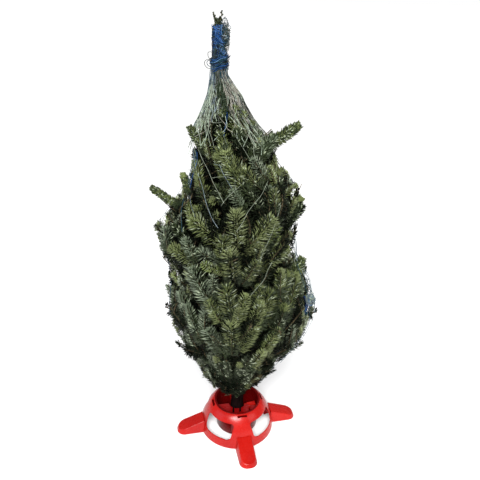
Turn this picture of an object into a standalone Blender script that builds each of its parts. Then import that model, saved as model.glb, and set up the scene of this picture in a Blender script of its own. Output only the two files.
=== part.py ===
"""A small netted fir, cut and stood in a moulded plastic stand. Metres, +Z up.

The origin is the middle of the flat underside of the stand's water bowl, on the floor.
-Y is the front. Each bough is a limb that rises from the trunk, and each limb carries one
mass of needle sprays, which keeps to the space nearer to its own bough than to any other.
"""

import math
import random

import bmesh
import bpy
from mathutils import Matrix, Vector
from mathutils.kdtree import KDTree

GAP = 0.0003
UP = Vector((0.0, 0.0, 1.0))

# Stand
RING_RADIUS = 0.1326
MOUTH_RADIUS = 0.0790
BELL_HEIGHT = 0.110
BELL_FULLNESS = 1.55
PLASTIC = 0.003
STAND_SIDES = 36
LEG_COUNT = 4
LEG_TURN = math.radians(12.0)
LEG_REACH = 0.220
LEG_HALF_WIDTH = 0.030
LEG_SIDE_SLOPE = 0.008
LEG_ROOT_HEIGHT = 0.042
LEG_TOE_HEIGHT = 0.013
WINDOW_HALF_ANGLE = math.radians(31.0)
WINDOW_LOW = 0.031
WINDOW_HIGH = 0.086
WINDOW_SQUARENESS = 4.5
SLOT_WIDTH = 0.038
SLOT_GAP = 0.004
BOWL_FOOT_RADIUS = 0.066
BOWL_TURN_HEIGHT = 0.010
BOWL_TURN_RADIUS = 0.0738
CLAMP_WIDTH = 0.030
CLAMP_NOSE_WIDTH = 0.018
CLAMP_LOW = 0.055
CLAMP_HEIGHT = 0.016

# Trunk
TREE_HEIGHT = 1.400
TRUNK_TOP = 1.366
TRUNK_SIDES = 10
TRUNK_RINGS = 18
BUTT_RADIUS = 0.0235
BUTT_FLARE = 0.003
LEADER_RADIUS = 0.0030
LEADER_SWAY = -0.078
SWAY_FROM = 0.85
SWAY_TO = 1.35

# Crown outline: height, sideways shift of its middle, half width
CROWN_OUTLINE = (
    (0.130, -0.006, 0.058),
    (0.165, -0.015, 0.074),
    (0.220, -0.010, 0.122),
    (0.270, -0.003, 0.152),
    (0.330, 0.000, 0.190),
    (0.420, -0.005, 0.234),
    (0.520, 0.005, 0.246),
    (0.610, 0.000, 0.226),
    (0.700, -0.036, 0.210),
    (0.780, -0.052, 0.220),
    (0.860, -0.025, 0.194),
    (0.930, -0.010, 0.170),
    (1.000, -0.030, 0.130),
    (1.060, -0.026, 0.126),
    (1.120, -0.060, 0.086),
    (1.200, -0.064, 0.052),
    (1.236, -0.070, 0.038),
)

# Whorls of boughs, from the lowest to the top. Angles are in degrees: the azimuth of the
# first bough, the rise where a bough leaves the trunk and the rise at its tip. Reach is a
# share of the crown's half width at the tip's height, limb the bare share of a bough.
SEED = 24
WHORLS = (
    dict(name="skirt", count=7, first=266, root=0.155, climb=0.070, tip=0.620, reach=0.90,
         leave=26, end=94, limb=0.08, limb_radius=0.0070, spray=0.155, pairs=5),
    dict(name="waist", count=6, first=188, root=0.370, climb=0.090, tip=0.870, reach=0.92,
         leave=42, end=68, limb=0.34, limb_radius=0.0062, spray=0.150, pairs=4),
    dict(name="shoulder", count=5, first=4, root=0.610, climb=0.080, tip=1.080, reach=0.96,
         leave=44, end=72, limb=0.32, limb_radius=0.0052, spray=0.130, pairs=4),
    dict(name="top", count=4, first=225, root=0.840, climb=0.060, tip=1.195, reach=0.75,
         leave=46, end=98, limb=0.30, limb_radius=0.0042, spray=0.105, pairs=3),
)
TIP_SCATTER = 0.030
SWING_SCATTER = 7.0
LIMB_SIDES = 5
LIMB_RINGS = 5

# Boughs whose tips spring out of the net: tip, and rise at the tip in degrees
HORNS = {
    ("skirt", 5): (Vector((-0.262, 0.030, 0.785)), 74),
    ("waist", 0): (Vector((-0.262, -0.020, 0.900)), 36),
    ("waist", 3): (Vector((0.172, -0.020, 0.945)), 66),
    ("shoulder", 0): (Vector((0.143, -0.030, 1.116)), 24),
    ("shoulder", 3): (Vector((-0.140, -0.050, 1.125)), 66),
}

# Needle sprays
STEM_SIDES = 3
STEM_RINGS = 6
STEM_RADIUS = 0.0030
SPRAY_ANGLE = 50.0
SPRAY_ROLL = 38.0
SPRAY_LIFTS = (-26.0, 14.0)
SPRAY_HALF_WIDTH = 0.037
SPRAY_THICKNESS = 0.0030
SPRAY_SIZES = (1.0, 0.84, 0.70, 0.56, 0.42)
SPRAY_SWEEPS = (1.0, 0.62)
LONG_SPRAY = 0.105
TOOTH_VALLEY = 0.52
TOOTH_SWEEP = 0.90
TOOTH_FULLNESS = {2: (0.75, 0.80), 3: (0.66, 1.00, 0.74)}
SPACE_MARGIN = 0.0022
TRUNK_MARGIN = 0.005
AXIS_STEP = 0.012
CROWN_FOOT = 0.128
CROWN_SLACK = 0.014
HORN_SLACK = 0.080

# Net gathered round the leader
BUNCH_LOW = 1.240
BUNCH_HIGH = 1.362
BUNCH_RADIUS = 0.022
BUNCH_SIDES = 12
BUNCH_RINGS = 9
TUFT_SPRAYS = 3


# ---------------------------------------------------------------- general making


def clear_scene():
    for obj in list(bpy.data.objects):
        bpy.data.objects.remove(obj, do_unlink=True)


def make_material(name, colour, roughness, metallic=0.0):
    material = bpy.data.materials.new(name)
    material.use_nodes = True
    shader = material.node_tree.nodes["Principled BSDF"]
    shader.inputs["Base Color"].default_value = (*colour, 1.0)
    shader.inputs["Roughness"].default_value = roughness
    shader.inputs["Metallic"].default_value = metallic
    return material


def make_object(name, points, faces, material=None, collection=None):
    """A mesh object whose faces are turned to point outwards."""
    mesh = bpy.data.meshes.new(name)
    mesh.from_pydata([tuple(p) for p in points], [], faces)
    shape = bmesh.new()
    shape.from_mesh(mesh)
    bmesh.ops.recalc_face_normals(shape, faces=shape.faces[:])
    shape.to_mesh(mesh)
    shape.free()
    if material:
        mesh.materials.append(material)
    obj = bpy.data.objects.new(name, mesh)
    (collection or bpy.context.scene.collection).objects.link(obj)
    return obj


def make_cutter(name, points, faces):
    cutter = make_object(name, points, faces)
    cutter.hide_render = True
    cutter.display_type = "WIRE"
    return cutter


def cut(obj, cutter):
    modifier = obj.modifiers.new(f"cut_{cutter.name}", "BOOLEAN")
    modifier.operation = "DIFFERENCE"
    modifier.solver = "EXACT"
    modifier.object = cutter


def ring_faces(rings, sides, capped=True):
    """Faces of a tube whose rings of points follow each other, with flat end caps."""
    faces = [
        (r * sides + k, r * sides + (k + 1) % sides,
         (r + 1) * sides + (k + 1) % sides, (r + 1) * sides + k)
        for r in range(rings - 1)
        for k in range(sides)
    ]
    if capped:
        faces.append(tuple(range(sides)))
        faces.append(tuple((rings - 1) * sides + k for k in range(sides)))
    return faces


def tube(path, headings, radii, sides, side_axis=Vector((0.0, 1.0, 0.0))):
    """Points and faces of a tapered tube that follows a path, each ring square to its heading."""
    points = []
    for centre, along, radius in zip(path, headings, radii):
        across = along.cross(side_axis).normalized()
        other = along.cross(across)
        for k in range(sides):
            turn = 2 * math.pi * k / sides
            points.append(centre + radius * (math.cos(turn) * across + math.sin(turn) * other))
    return points, ring_faces(len(path), sides)


def revolve(profile, closed):
    """A turned shape. A closed profile never meets the axis; an open one starts and ends on it."""
    points, rows = [], []
    for radius, height in profile:
        if radius < 1e-9:
            rows.append([len(points)])
            points.append(Vector((0.0, 0.0, height)))
            continue
        rows.append([len(points) + k for k in range(STAND_SIDES)])
        for k in range(STAND_SIDES):
            turn = 2 * math.pi * (k + 0.5) / STAND_SIDES + LEG_TURN
            points.append(Vector((radius * math.cos(turn), radius * math.sin(turn), height)))
    faces = []
    pairs = list(zip(rows, rows[1:] + rows[:1])) if closed else list(zip(rows, rows[1:]))
    for low, high in pairs:
        for k in range(STAND_SIDES):
            corners = [low[k % len(low)], low[(k + 1) % len(low)],
                       high[(k + 1) % len(high)], high[k % len(high)]]
            faces.append(tuple(dict.fromkeys(corners)))
    return points, faces


# ---------------------------------------------------------------- stand


def bell_profile(grow=0.0, steps=8):
    """Outer surface of the bell, from the floor ring up to the mouth: a flattened arch."""
    spread = RING_RADIUS - MOUTH_RADIUS
    profile = []
    for i in range(steps):
        turn = math.pi / 2 * i / (steps - 1)
        radius = MOUTH_RADIUS + spread * max(math.cos(turn), 0.0) ** (2 / BELL_FULLNESS)
        height = BELL_HEIGHT * math.sin(turn) ** (2 / BELL_FULLNESS)
        profile.append((radius + grow, height + (grow if i else 0.0)))
    return profile


def window_cutter(middle):
    """A rounded opening between two legs, cut through the bell's wall but not the bowl's."""
    columns = 10
    centre = (WINDOW_LOW + WINDOW_HIGH) / 2
    half = (WINDOW_HIGH - WINDOW_LOW) / 2
    near, far = MOUTH_RADIUS + 0.004, RING_RADIUS + 0.02
    points, low, high = [], [], []
    for j in range(columns + 1):
        share = math.sin(math.pi / 2 * (2 * j / columns - 1))
        rise = half * (1 - abs(share) ** WINDOW_SQUARENESS) ** (1 / WINDOW_SQUARENESS)
        turn = middle + WINDOW_HALF_ANGLE * share
        ends = []
        for height in ([centre - rise, centre + rise] if rise > 1e-6 else [centre]):
            for radius in (near, far):
                ends.append(len(points))
                points.append(Vector((radius * math.cos(turn), radius * math.sin(turn), height)))
        low.append(ends[:2])
        high.append(ends[-2:])
    faces = []
    for j in range(columns):
        for quad in (
            (low[j][0], low[j + 1][0], high[j + 1][0], high[j][0]),
            (low[j][1], low[j + 1][1], high[j + 1][1], high[j][1]),
            (low[j][0], low[j + 1][0], low[j + 1][1], low[j][1]),
            (high[j][0], high[j + 1][0], high[j + 1][1], high[j][1]),
        ):
            corners = tuple(dict.fromkeys(quad))
            if len(corners) > 2:
                faces.append(corners)
    return points, faces


def box(centre, size, turn):
    points, faces = [], [(0, 1, 3, 2), (4, 5, 7, 6), (0, 1, 5, 4), (2, 3, 7, 6), (0, 2, 6, 4), (1, 3, 7, 5)]
    spin = Matrix.Rotation(turn, 3, "Z")
    for x in (-0.5, 0.5):
        for y in (-0.5, 0.5):
            for z in (-0.5, 0.5):
                points.append(centre + spin @ Vector((x * size[0], y * size[1], z * size[2])))
    return points, faces


def leg_outline(inset, steps=8):
    """Half-round toe and straight sides of a leg in plan, in its own X along the leg."""
    toe_centre = LEG_REACH - LEG_HALF_WIDTH
    half = LEG_HALF_WIDTH - inset
    root = MOUTH_RADIUS + 0.010
    outline = [(root, -half)]
    for i in range(steps + 1):
        turn = -math.pi / 2 + math.pi * i / steps
        outline.append((toe_centre + half * math.cos(turn), half * math.sin(turn)))
    outline.append((root, half))
    return outline


def leg_solid(inset, drop, turn):
    """A leg as a low wedge with sloping sides. drop lowers its top, for the hollow underneath."""
    slope = (LEG_ROOT_HEIGHT - LEG_TOE_HEIGHT) / (LEG_REACH - RING_RADIUS)
    spin = Matrix.Rotation(turn, 3, "Z")
    points = []
    for x, y in leg_outline(inset):
        points.append(spin @ Vector((x, y, -0.004 if drop else 0.0)))
    for x, y in leg_outline(inset + LEG_SIDE_SLOPE):
        height = LEG_TOE_HEIGHT + slope * (LEG_REACH - x) - drop
        points.append(spin @ Vector((x, y, height)))
    count = len(points) // 2
    faces = [tuple(range(count)), tuple(range(count, 2 * count))]
    faces += [(k, (k + 1) % count, count + (k + 1) % count, count + k) for k in range(count)]
    return points, faces


def build_stand(red):
    outer = bell_profile()
    inner = [(radius - PLASTIC, height - (PLASTIC if i else 0.0)) for i, (radius, height) in enumerate(outer)]
    inner[-1] = (MOUTH_RADIUS, BELL_HEIGHT - PLASTIC)
    bell = make_object("stand_bell", *revolve(outer + inner[::-1], closed=True), red)
    around = make_cutter("bell_clearance", *revolve([(0.0, -0.01), (RING_RADIUS + GAP, -0.01)]
                                                    + bell_profile(GAP) + [(0.0, BELL_HEIGHT + GAP)], closed=False))
    hollow_radius = MOUTH_RADIUS - GAP
    bowl_outer = [(0.0, 0.0), (BOWL_FOOT_RADIUS, 0.0), (BOWL_TURN_RADIUS, BOWL_TURN_HEIGHT), (hollow_radius, BELL_HEIGHT)]
    bowl_inner = [(hollow_radius - PLASTIC, BELL_HEIGHT), (BOWL_TURN_RADIUS - PLASTIC, BOWL_TURN_HEIGHT + PLASTIC),
                  (BOWL_FOOT_RADIUS - PLASTIC, PLASTIC), (0.0, PLASTIC)]
    make_object("stand_bowl", *revolve(bowl_outer + bowl_inner, closed=False), red)
    for i in range(LEG_COUNT):
        turn = LEG_TURN + 2 * math.pi * i / LEG_COUNT
        cut(bell, make_cutter(f"window_{i + 1}", *window_cutter(turn + math.pi / LEG_COUNT)))
        slot_at = Vector((math.cos(turn), math.sin(turn), 0.0)) * (MOUTH_RADIUS + 0.008) + UP * BELL_HEIGHT
        cut(bell, make_cutter(f"slot_{i + 1}", *box(slot_at, (SLOT_GAP, SLOT_WIDTH, 0.04), turn)))
        leg = make_object(f"stand_leg_{i + 1}", *leg_solid(0.0, 0.0, turn), red)
        cut(leg, make_cutter(f"leg_hollow_{i + 1}", *leg_solid(PLASTIC, PLASTIC, turn)))
        cut(leg, around)
        build_clamp(i, turn, red)


def build_clamp(index, turn, red):
    """A block that stands in from the bowl's wall and pinches the trunk."""
    share = (CLAMP_LOW - BOWL_TURN_HEIGHT) / (BELL_HEIGHT - BOWL_TURN_HEIGHT)
    wall = BOWL_TURN_RADIUS + share * (MOUTH_RADIUS - GAP - BOWL_TURN_RADIUS) - PLASTIC
    facet = math.cos(math.pi / STAND_SIDES)
    back = math.sqrt((wall * facet) ** 2 - (CLAMP_WIDTH / 2) ** 2) - GAP
    nose = trunk_radius(CLAMP_LOW) + 1.5 * GAP
    neck = nose + 0.012
    plan = [(back, -CLAMP_WIDTH / 2), (back, CLAMP_WIDTH / 2), (neck, CLAMP_WIDTH / 2),
            (nose, CLAMP_NOSE_WIDTH / 2), (nose, -CLAMP_NOSE_WIDTH / 2), (neck, -CLAMP_WIDTH / 2)]
    spin = Matrix.Rotation(turn, 3, "Z")
    points = [spin @ Vector((x, y, z)) for z in (CLAMP_LOW, CLAMP_LOW + CLAMP_HEIGHT) for x, y in plan]
    make_object(f"trunk_clamp_{index + 1}", points, ring_faces(2, len(plan)), red)


# ---------------------------------------------------------------- trunk


def smooth(share):
    share = min(max(share, 0.0), 1.0)
    return share * share * (3 - 2 * share)


def trunk_centre(height):
    """The trunk stands upright, and its leader is drawn to the left by the gathered net."""
    return Vector((LEADER_SWAY * smooth((height - SWAY_FROM) / (SWAY_TO - SWAY_FROM)), 0.0, height))


def trunk_radius(height):
    share = min(max(height / TRUNK_TOP, 0.0), 1.0)
    flare = BUTT_FLARE * math.exp(-height / 0.05)
    return LEADER_RADIUS + (BUTT_RADIUS - LEADER_RADIUS) * (1 - share) ** 0.9 + flare


def build_trunk(bark):
    """The trunk, and a copy grown by the gap that cuts whatever meets it."""
    foot = PLASTIC + GAP
    heights = [foot + (TRUNK_TOP - foot) * (i / (TRUNK_RINGS - 1)) ** 0.95 for i in range(TRUNK_RINGS)]
    path = [trunk_centre(h) for h in heights]
    headings = [UP] * TRUNK_RINGS
    radii = [trunk_radius(h) for h in heights]
    make_object("trunk", *tube(path, headings, radii, TRUNK_SIDES), bark)
    grow = GAP / math.cos(math.pi / TRUNK_SIDES)
    path[0] = path[0] - UP * GAP
    path[-1] = path[-1] + UP * GAP
    grown = [r + grow for r in radii]
    return make_cutter("trunk_clearance", *tube(path, headings, grown, TRUNK_SIDES))


# ---------------------------------------------------------------- boughs


def crown_at(height):
    """(sideways shift, half width) of the crown at a height."""
    rows = CROWN_OUTLINE
    if height <= rows[0][0]:
        return rows[0][1], rows[0][2]
    for low, high in zip(rows, rows[1:]):
        if height <= high[0]:
            share = (height - low[0]) / (high[0] - low[0])
            return low[1] + share * (high[1] - low[1]), low[2] + share * (high[2] - low[2])
    return rows[-1][1], rows[-1][2]


def bezier(knots, share):
    a, b, c, d = knots
    rest = 1 - share
    return rest ** 3 * a + 3 * rest * rest * share * b + 3 * rest * share * share * c + share ** 3 * d


def heading(knots, share):
    a, b, c, d = knots
    rest = 1 - share
    return (rest * rest * (b - a) + 2 * rest * share * (c - b) + share * share * (d - c)).normalized()


def bough_line(whorl, number):
    """The four knots of a bough's line, from the trunk's middle to the bough's tip."""
    chance = random.Random(f"{SEED}-{whorl['name']}-{number}")
    turn = math.radians(whorl["first"] + 360 * number / whorl["count"]
                        + (chance.uniform(-SWING_SCATTER, SWING_SCATTER) if number else 0.0))
    out = Vector((math.cos(turn), math.sin(turn), 0.0))
    rung = (number * 3) % whorl["count"] / max(whorl["count"] - 1, 1)
    root = trunk_centre(whorl["root"] + whorl["climb"] * rung)
    tip_height = whorl["tip"] + chance.uniform(-TIP_SCATTER, TIP_SCATTER)
    shift, half = crown_at(tip_height)
    tip = Vector((shift, 0.0, tip_height)) + out * half * whorl["reach"]
    leave = math.radians(whorl["leave"] + chance.uniform(-5, 5))
    end = math.radians(whorl["end"] + chance.uniform(-8, 8))
    if (whorl["name"], number) in HORNS:
        tip, rise = HORNS[whorl["name"], number]
        end = math.radians(rise)
    away = Vector((tip.x - root.x, tip.y - root.y, 0.0))
    away = away.normalized() if away.length > 0.02 else out
    hold = (tip - root).length * 0.38
    return (
        root,
        root + hold * (math.cos(leave) * out + math.sin(leave) * UP),
        tip - hold * (math.cos(end) * away + math.sin(end) * UP),
        tip,
    ), away


def build_bough(whorl, number, knots, side_axis, bark, trunk_clearance):
    """The bare limb, from its saddle on the trunk to where it enters its needles."""
    shares = [whorl["limb"] * i / (LIMB_RINGS - 1) for i in range(LIMB_RINGS)]
    path = [bezier(knots, s) for s in shares]
    headings = [heading(knots, s) for s in shares]
    thin = (STEM_RADIUS - whorl["limb_radius"]) / whorl["limb"]
    radii = [whorl["limb_radius"] + thin * s for s in shares]
    bough = make_object(f"bough_{whorl['name']}_{number + 1}",
                        *tube(path, headings, radii, LIMB_SIDES, side_axis), bark)
    cut(bough, trunk_clearance)


# ---------------------------------------------------------------- needle masses


class Spaces:
    """Which bough each place belongs to: the one whose line is nearest."""

    def __init__(self, lines):
        points = []
        for key, knots in lines.items():
            count = int((knots[3] - knots[0]).length * 1.2 / AXIS_STEP)
            points += [(key, bezier(knots, i / count)) for i in range(2, count + 1)]
        self.tree = KDTree(len(points))
        self.keys = [key for key, _ in points]
        for i, (_, point) in enumerate(points):
            self.tree.insert(point, i)
        self.tree.balance()

    def owns(self, key, point):
        own = other = None
        for _, i, distance in self.tree.find_n(point, 24):
            if self.keys[i] == key:
                own = distance if own is None else own
            else:
                other = distance if other is None else other
            if own is not None and other is not None:
                break
        return own is not None and (other is None or other - own > 2 * SPACE_MARGIN)


def in_crown(point, slack):
    """Inside the crown's outline, off the trunk, and above the stand."""
    shift, half = crown_at(point.z)
    if point.z < CROWN_FOOT or point.z > CROWN_OUTLINE[-1][0]:
        return False
    if math.hypot(point.x - shift, point.y) > half + slack:
        return False
    return (point - trunk_centre(point.z)).length > trunk_radius(point.z) + TRUNK_MARGIN


def blade_half(length, half_width):
    """One side of a needle spray's toothed outline, as (along, across) from root to tip."""
    teeth = 3 if length > LONG_SPRAY else 2
    pitch = length / (teeth + 0.7)
    outline = [(-0.001, 0.0022)]
    for i in range(teeth):
        fullness = TOOTH_FULLNESS[teeth][i]
        outline.append((pitch * (i + TOOTH_SWEEP), half_width * fullness))
        if i < teeth - 1:
            outline.append((pitch * (i + 1), half_width * fullness * TOOTH_VALLEY))
    return outline


def blade(root, along, across, length, half_width):
    """A toothed blade: a spray of needles on its shoot."""
    half = blade_half(length, half_width)
    flat = half + [(length, 0.0)] + [(u, -v) for u, v in reversed(half)]
    face = along.cross(across).normalized()
    points = [root + u * along + v * across + w * face
              for w in (-SPRAY_THICKNESS / 2, SPRAY_THICKNESS / 2) for u, v in flat]
    return points, ring_faces(2, len(flat))


def spray_places(whorl, number, knots):
    """(root, heading, away, angle, roll, length) of each spray of a mass, from a seeded rule."""
    chance = random.Random(f"{SEED}-{whorl['name']}-{number}-sprays")
    side = (knots[3] - knots[0]).cross(UP).normalized()
    first, last, pairs = whorl["limb"] + 0.04, 0.86, whorl["pairs"]
    places = []
    for i in range(2 * pairs + 1):
        sign = -1 if i % 2 else 1
        share = first + (last - first) * i / (2 * pairs)
        along = heading(knots, share)
        face = side.cross(along).normalized()
        angle = SPRAY_ANGLE + chance.uniform(-8, 8)
        lift = math.radians((SPRAY_LIFTS[i // 2 % 2]) + chance.uniform(-8, 8))
        roll = math.radians(chance.uniform(-SPRAY_ROLL, SPRAY_ROLL))
        away = math.cos(lift) * sign * side + math.sin(lift) * face
        length = whorl["spray"] * (1.0 - 0.25 * i / (2 * pairs)) * chance.uniform(0.92, 1.10)
        root = bezier(knots, share)
        if i == 2 * pairs:
            along, angle, length = (knots[3] - root).normalized(), 0.0, (knots[3] - root).length
        places.append((root, along, away, math.radians(angle), roll, length))
    return places


def spray_that_fits(key, place, spaces):
    """The longest and widest set of a spray that stays in its bough's own space."""
    root, along, away, angle, roll, length = place
    slack = HORN_SLACK if key in HORNS and angle == 0.0 else CROWN_SLACK
    for size in SPRAY_SIZES:
        for sweep in SPRAY_SWEEPS:
            line = math.cos(angle * sweep) * along + math.sin(angle * sweep) * away
            flat = along.cross(away).cross(line).normalized()
            across = math.cos(roll) * flat + math.sin(roll) * line.cross(flat)
            half_width = SPRAY_HALF_WIDTH * (0.5 + 0.5 * size)
            points, faces = blade(root, line, across, length * size, half_width)
            if all(spaces.owns(key, p) and in_crown(p, slack) for p in points[1:-1]):
                return points, faces
    return None


def build_mass(whorl, number, knots, spaces, needles):
    """A stem with toothed sprays fused on, in the space of its own bough."""
    name = f"needles_{whorl['name']}_{number + 1}"
    side = (knots[3] - knots[0]).cross(UP).normalized()
    line_length = sum((bezier(knots, (i + 1) / 20) - bezier(knots, i / 20)).length for i in range(20))
    first = whorl["limb"] + GAP / line_length
    shares = [first + (0.94 - first) * i / (STEM_RINGS - 1) for i in range(STEM_RINGS)]
    radii = [STEM_RADIUS * (1 - 0.5 * i / (STEM_RINGS - 1)) for i in range(STEM_RINGS)]
    path = [bezier(knots, s) for s in shares]
    headings = [heading(knots, s) for s in shares]
    stem = make_object(name, *tube(path, headings, radii, STEM_SIDES, side), needles)
    sprays = bpy.data.collections.new(f"{name}_sprays")
    bpy.context.scene.collection.children.link(sprays)
    for place in spray_places(whorl, number, knots):
        spray = spray_that_fits((whorl["name"], number), place, spaces)
        if spray:
            make_object(f"{name}_spray", *spray, collection=sprays)
    fuse(stem, sprays)


def fuse(stem, sprays):
    """Joins every shape of a collection to the stem, and clears the collection away."""
    union = stem.modifiers.new("fuse", "BOOLEAN")
    union.operation = "UNION"
    union.operand_type = "COLLECTION"
    union.collection = sprays
    union.solver = "MANIFOLD"
    bpy.context.view_layer.objects.active = stem
    bpy.ops.object.modifier_apply(modifier=union.name)
    for spray in list(sprays.objects):
        mesh = spray.data
        bpy.data.objects.remove(spray)
        bpy.data.meshes.remove(mesh)
    bpy.data.collections.remove(sprays)
    keep_largest_skin(stem)


def keep_largest_skin(obj):
    """Drops loose scraps and the skins of pockets that are closed in on all sides."""
    shape = bmesh.new()
    shape.from_mesh(obj.data)
    left, skins = set(shape.verts), []
    while left:
        reached = {left.pop()}
        skin = set(reached)
        while reached:
            reached = {e.other_vert(v) for v in reached for e in v.link_edges} - skin
            skin |= reached
        left -= skin
        skins.append(skin)
    largest = max(skins, key=len)
    scraps = [v for skin in skins if skin is not largest for v in skin]
    bmesh.ops.delete(shape, geom=scraps, context="VERTS")
    shape.to_mesh(obj.data)
    shape.free()


# ---------------------------------------------------------------- top of the tree


def build_bunch(net, trunk_clearance):
    """The net's end, gathered and knotted into a rough sleeve round the leader."""
    chance = random.Random(f"{SEED}-bunch")
    path, radii = [], []
    for i in range(BUNCH_RINGS):
        share = i / (BUNCH_RINGS - 1)
        path.append(trunk_centre(BUNCH_LOW + share * (BUNCH_HIGH - BUNCH_LOW)))
        waist = 1 - 0.16 * math.sin(math.pi * min(share * 1.6, 1.0)) ** 2
        radii.append(BUNCH_RADIUS * waist * chance.uniform(0.92, 1.06))
    radii[0] *= 0.70
    radii[-1] *= 0.80
    bunch = make_object("net_bunch", *tube(path, [UP] * BUNCH_RINGS, radii, BUNCH_SIDES), net)
    cut(bunch, trunk_clearance)


def build_tuft(needles):
    """The tips that stand out of the gathered net at the very top."""
    foot = trunk_centre(TRUNK_TOP) + UP * GAP
    top = foot + UP * (TREE_HEIGHT - TRUNK_TOP - 0.006)
    stem = make_object("needles_tuft", *tube([foot, top], [UP, UP], [LEADER_RADIUS, 0.0016], STEM_SIDES),
                       needles)
    sprays = bpy.data.collections.new("tuft_sprays")
    bpy.context.scene.collection.children.link(sprays)
    for i in range(TUFT_SPRAYS):
        turn = math.pi * i / TUFT_SPRAYS * 2
        lean = Vector((math.cos(turn), math.sin(turn), 0.0))
        along = (UP + 0.35 * lean).normalized() if i else UP
        root = foot + UP * (0.004 + 0.004 * i)
        length = TREE_HEIGHT - root.z if i == 0 else 0.022
        points, faces = blade(root, along, lean.cross(UP).normalized(), length, 0.007)
        make_object("tuft_spray", points, faces, collection=sprays)
    fuse(stem, sprays)


# ---------------------------------------------------------------- assembly


def main():
    clear_scene()
    red = make_material("red_plastic", (0.62, 0.015, 0.012), 0.28)
    bark = make_material("bark", (0.075, 0.052, 0.036), 0.85)
    needles = make_material("needles", (0.045, 0.075, 0.035), 0.55)
    net = make_material("blue_net", (0.03, 0.09, 0.42), 0.40)
    build_stand(red)
    trunk_clearance = build_trunk(bark)
    lines, sides = {}, {}
    for whorl in WHORLS:
        for number in range(whorl["count"]):
            knots, away = bough_line(whorl, number)
            lines[whorl["name"], number] = knots
            sides[whorl["name"], number] = away.cross(UP).normalized()
    spaces = Spaces(lines)
    for whorl in WHORLS:
        for number in range(whorl["count"]):
            knots = lines[whorl["name"], number]
            build_bough(whorl, number, knots, sides[whorl["name"], number], bark, trunk_clearance)
            build_mass(whorl, number, knots, spaces, needles)
    build_bunch(net, trunk_clearance)
    build_tuft(needles)


main()
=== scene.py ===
"""A small fir, half in its net, in a moulded plastic stand: dressed piece by piece on the
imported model. Metres, +Z up, -Y towards the front, origin under the middle of the stand."""

import math
import random

import bmesh
import bpy
import numpy as np
from mathutils import Matrix, Vector, noise
from mathutils.kdtree import KDTree


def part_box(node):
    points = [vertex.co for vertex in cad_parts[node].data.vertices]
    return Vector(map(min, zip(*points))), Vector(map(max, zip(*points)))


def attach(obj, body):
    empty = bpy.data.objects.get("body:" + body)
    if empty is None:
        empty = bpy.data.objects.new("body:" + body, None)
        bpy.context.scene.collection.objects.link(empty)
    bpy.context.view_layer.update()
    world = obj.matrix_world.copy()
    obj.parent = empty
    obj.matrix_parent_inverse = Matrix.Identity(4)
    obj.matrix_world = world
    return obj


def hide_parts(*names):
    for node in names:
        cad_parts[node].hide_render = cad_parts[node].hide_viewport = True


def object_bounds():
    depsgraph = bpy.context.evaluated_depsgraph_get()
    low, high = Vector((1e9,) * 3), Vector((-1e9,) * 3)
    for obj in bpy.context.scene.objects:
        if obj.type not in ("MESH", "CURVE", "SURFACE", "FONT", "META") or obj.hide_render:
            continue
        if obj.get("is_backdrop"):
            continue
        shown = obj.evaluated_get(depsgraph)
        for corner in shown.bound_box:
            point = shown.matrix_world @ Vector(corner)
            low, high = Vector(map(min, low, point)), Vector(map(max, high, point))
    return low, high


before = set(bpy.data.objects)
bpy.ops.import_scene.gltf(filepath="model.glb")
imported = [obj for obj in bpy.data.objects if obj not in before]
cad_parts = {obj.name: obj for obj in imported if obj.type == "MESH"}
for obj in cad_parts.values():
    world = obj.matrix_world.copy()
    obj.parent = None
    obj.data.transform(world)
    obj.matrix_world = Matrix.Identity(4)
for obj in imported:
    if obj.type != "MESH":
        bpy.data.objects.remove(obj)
cad_low, cad_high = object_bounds()


# ==================================================================== shell of the stand
# The stand's outer shell is one injection moulding in glossy red plastic. It flares from its
# mouth to a ring on the floor, with a window between each two legs and a slot over each leg.

RING_RADIUS = 0.1326
MOUTH_RADIUS = 0.0790
SHELL_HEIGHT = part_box("stand_bell")[1].z
SHELL_FULLNESS = 1.55
SHELL_STEPS = 26
WALL = 0.0030
TURNED_SIDES = 128
LEGS = 4
LEG_TURN = math.radians(13.2)
WINDOW_HALF_WIDTH = 0.0545
WINDOW_SWING = 0.041
WINDOW_LOW, WINDOW_HIGH = 0.0300, 0.0850
WINDOW_MIDDLE = (WINDOW_LOW + WINDOW_HIGH) / 2
WINDOW_LOW_CORNER, WINDOW_HIGH_CORNER = 0.016, 0.011
CUT_SPARE = 0.02
SLOT_SIZE = (0.0068, 0.034, 0.030)
SLOT_INSET = 0.0085
UP = Vector((0.0, 0.0, 1.0))


def level(turn):
    """The level direction at an angle round the upright axis."""
    return Vector((math.cos(turn), math.sin(turn), 0.0))


def leg_angle(number):
    return LEG_TURN + 2 * math.pi * number / LEGS


def only(obj):
    """Selects obj alone and makes it active."""
    bpy.ops.object.select_all(action="DESELECT")
    obj.select_set(True)
    bpy.context.view_layer.objects.active = obj


def added(name):
    """Names the primitive that was just added and takes its place into its mesh."""
    obj = bpy.context.active_object
    obj.name = obj.data.name = name
    only(obj)
    bpy.ops.object.transform_apply(location=True, rotation=True, scale=True)
    return obj


def pick(obj, kind, test):
    """In edit mode, selects just the verts, edges or faces that pass the test."""
    bpy.ops.mesh.select_mode(type={"verts": "VERT", "edges": "EDGE", "faces": "FACE"}[kind])
    bpy.ops.mesh.select_all(action="DESELECT")
    shape = bmesh.from_edit_mesh(obj.data)
    for element in getattr(shape, kind):
        if test(element):
            element.select_set(True)
    shape.select_flush_mode()
    bmesh.update_edit_mesh(obj.data)


def block(name, place, size, turned=(0.0, 0.0, 0.0)):
    bpy.ops.mesh.primitive_cube_add(size=1.0, location=place, rotation=turned, scale=size)
    return added(name)


def in_scene(name, data):
    """Puts a mesh, light or camera in the scene as an object."""
    obj = bpy.data.objects.new(name, data)
    bpy.context.scene.collection.objects.link(obj)
    return obj


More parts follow.
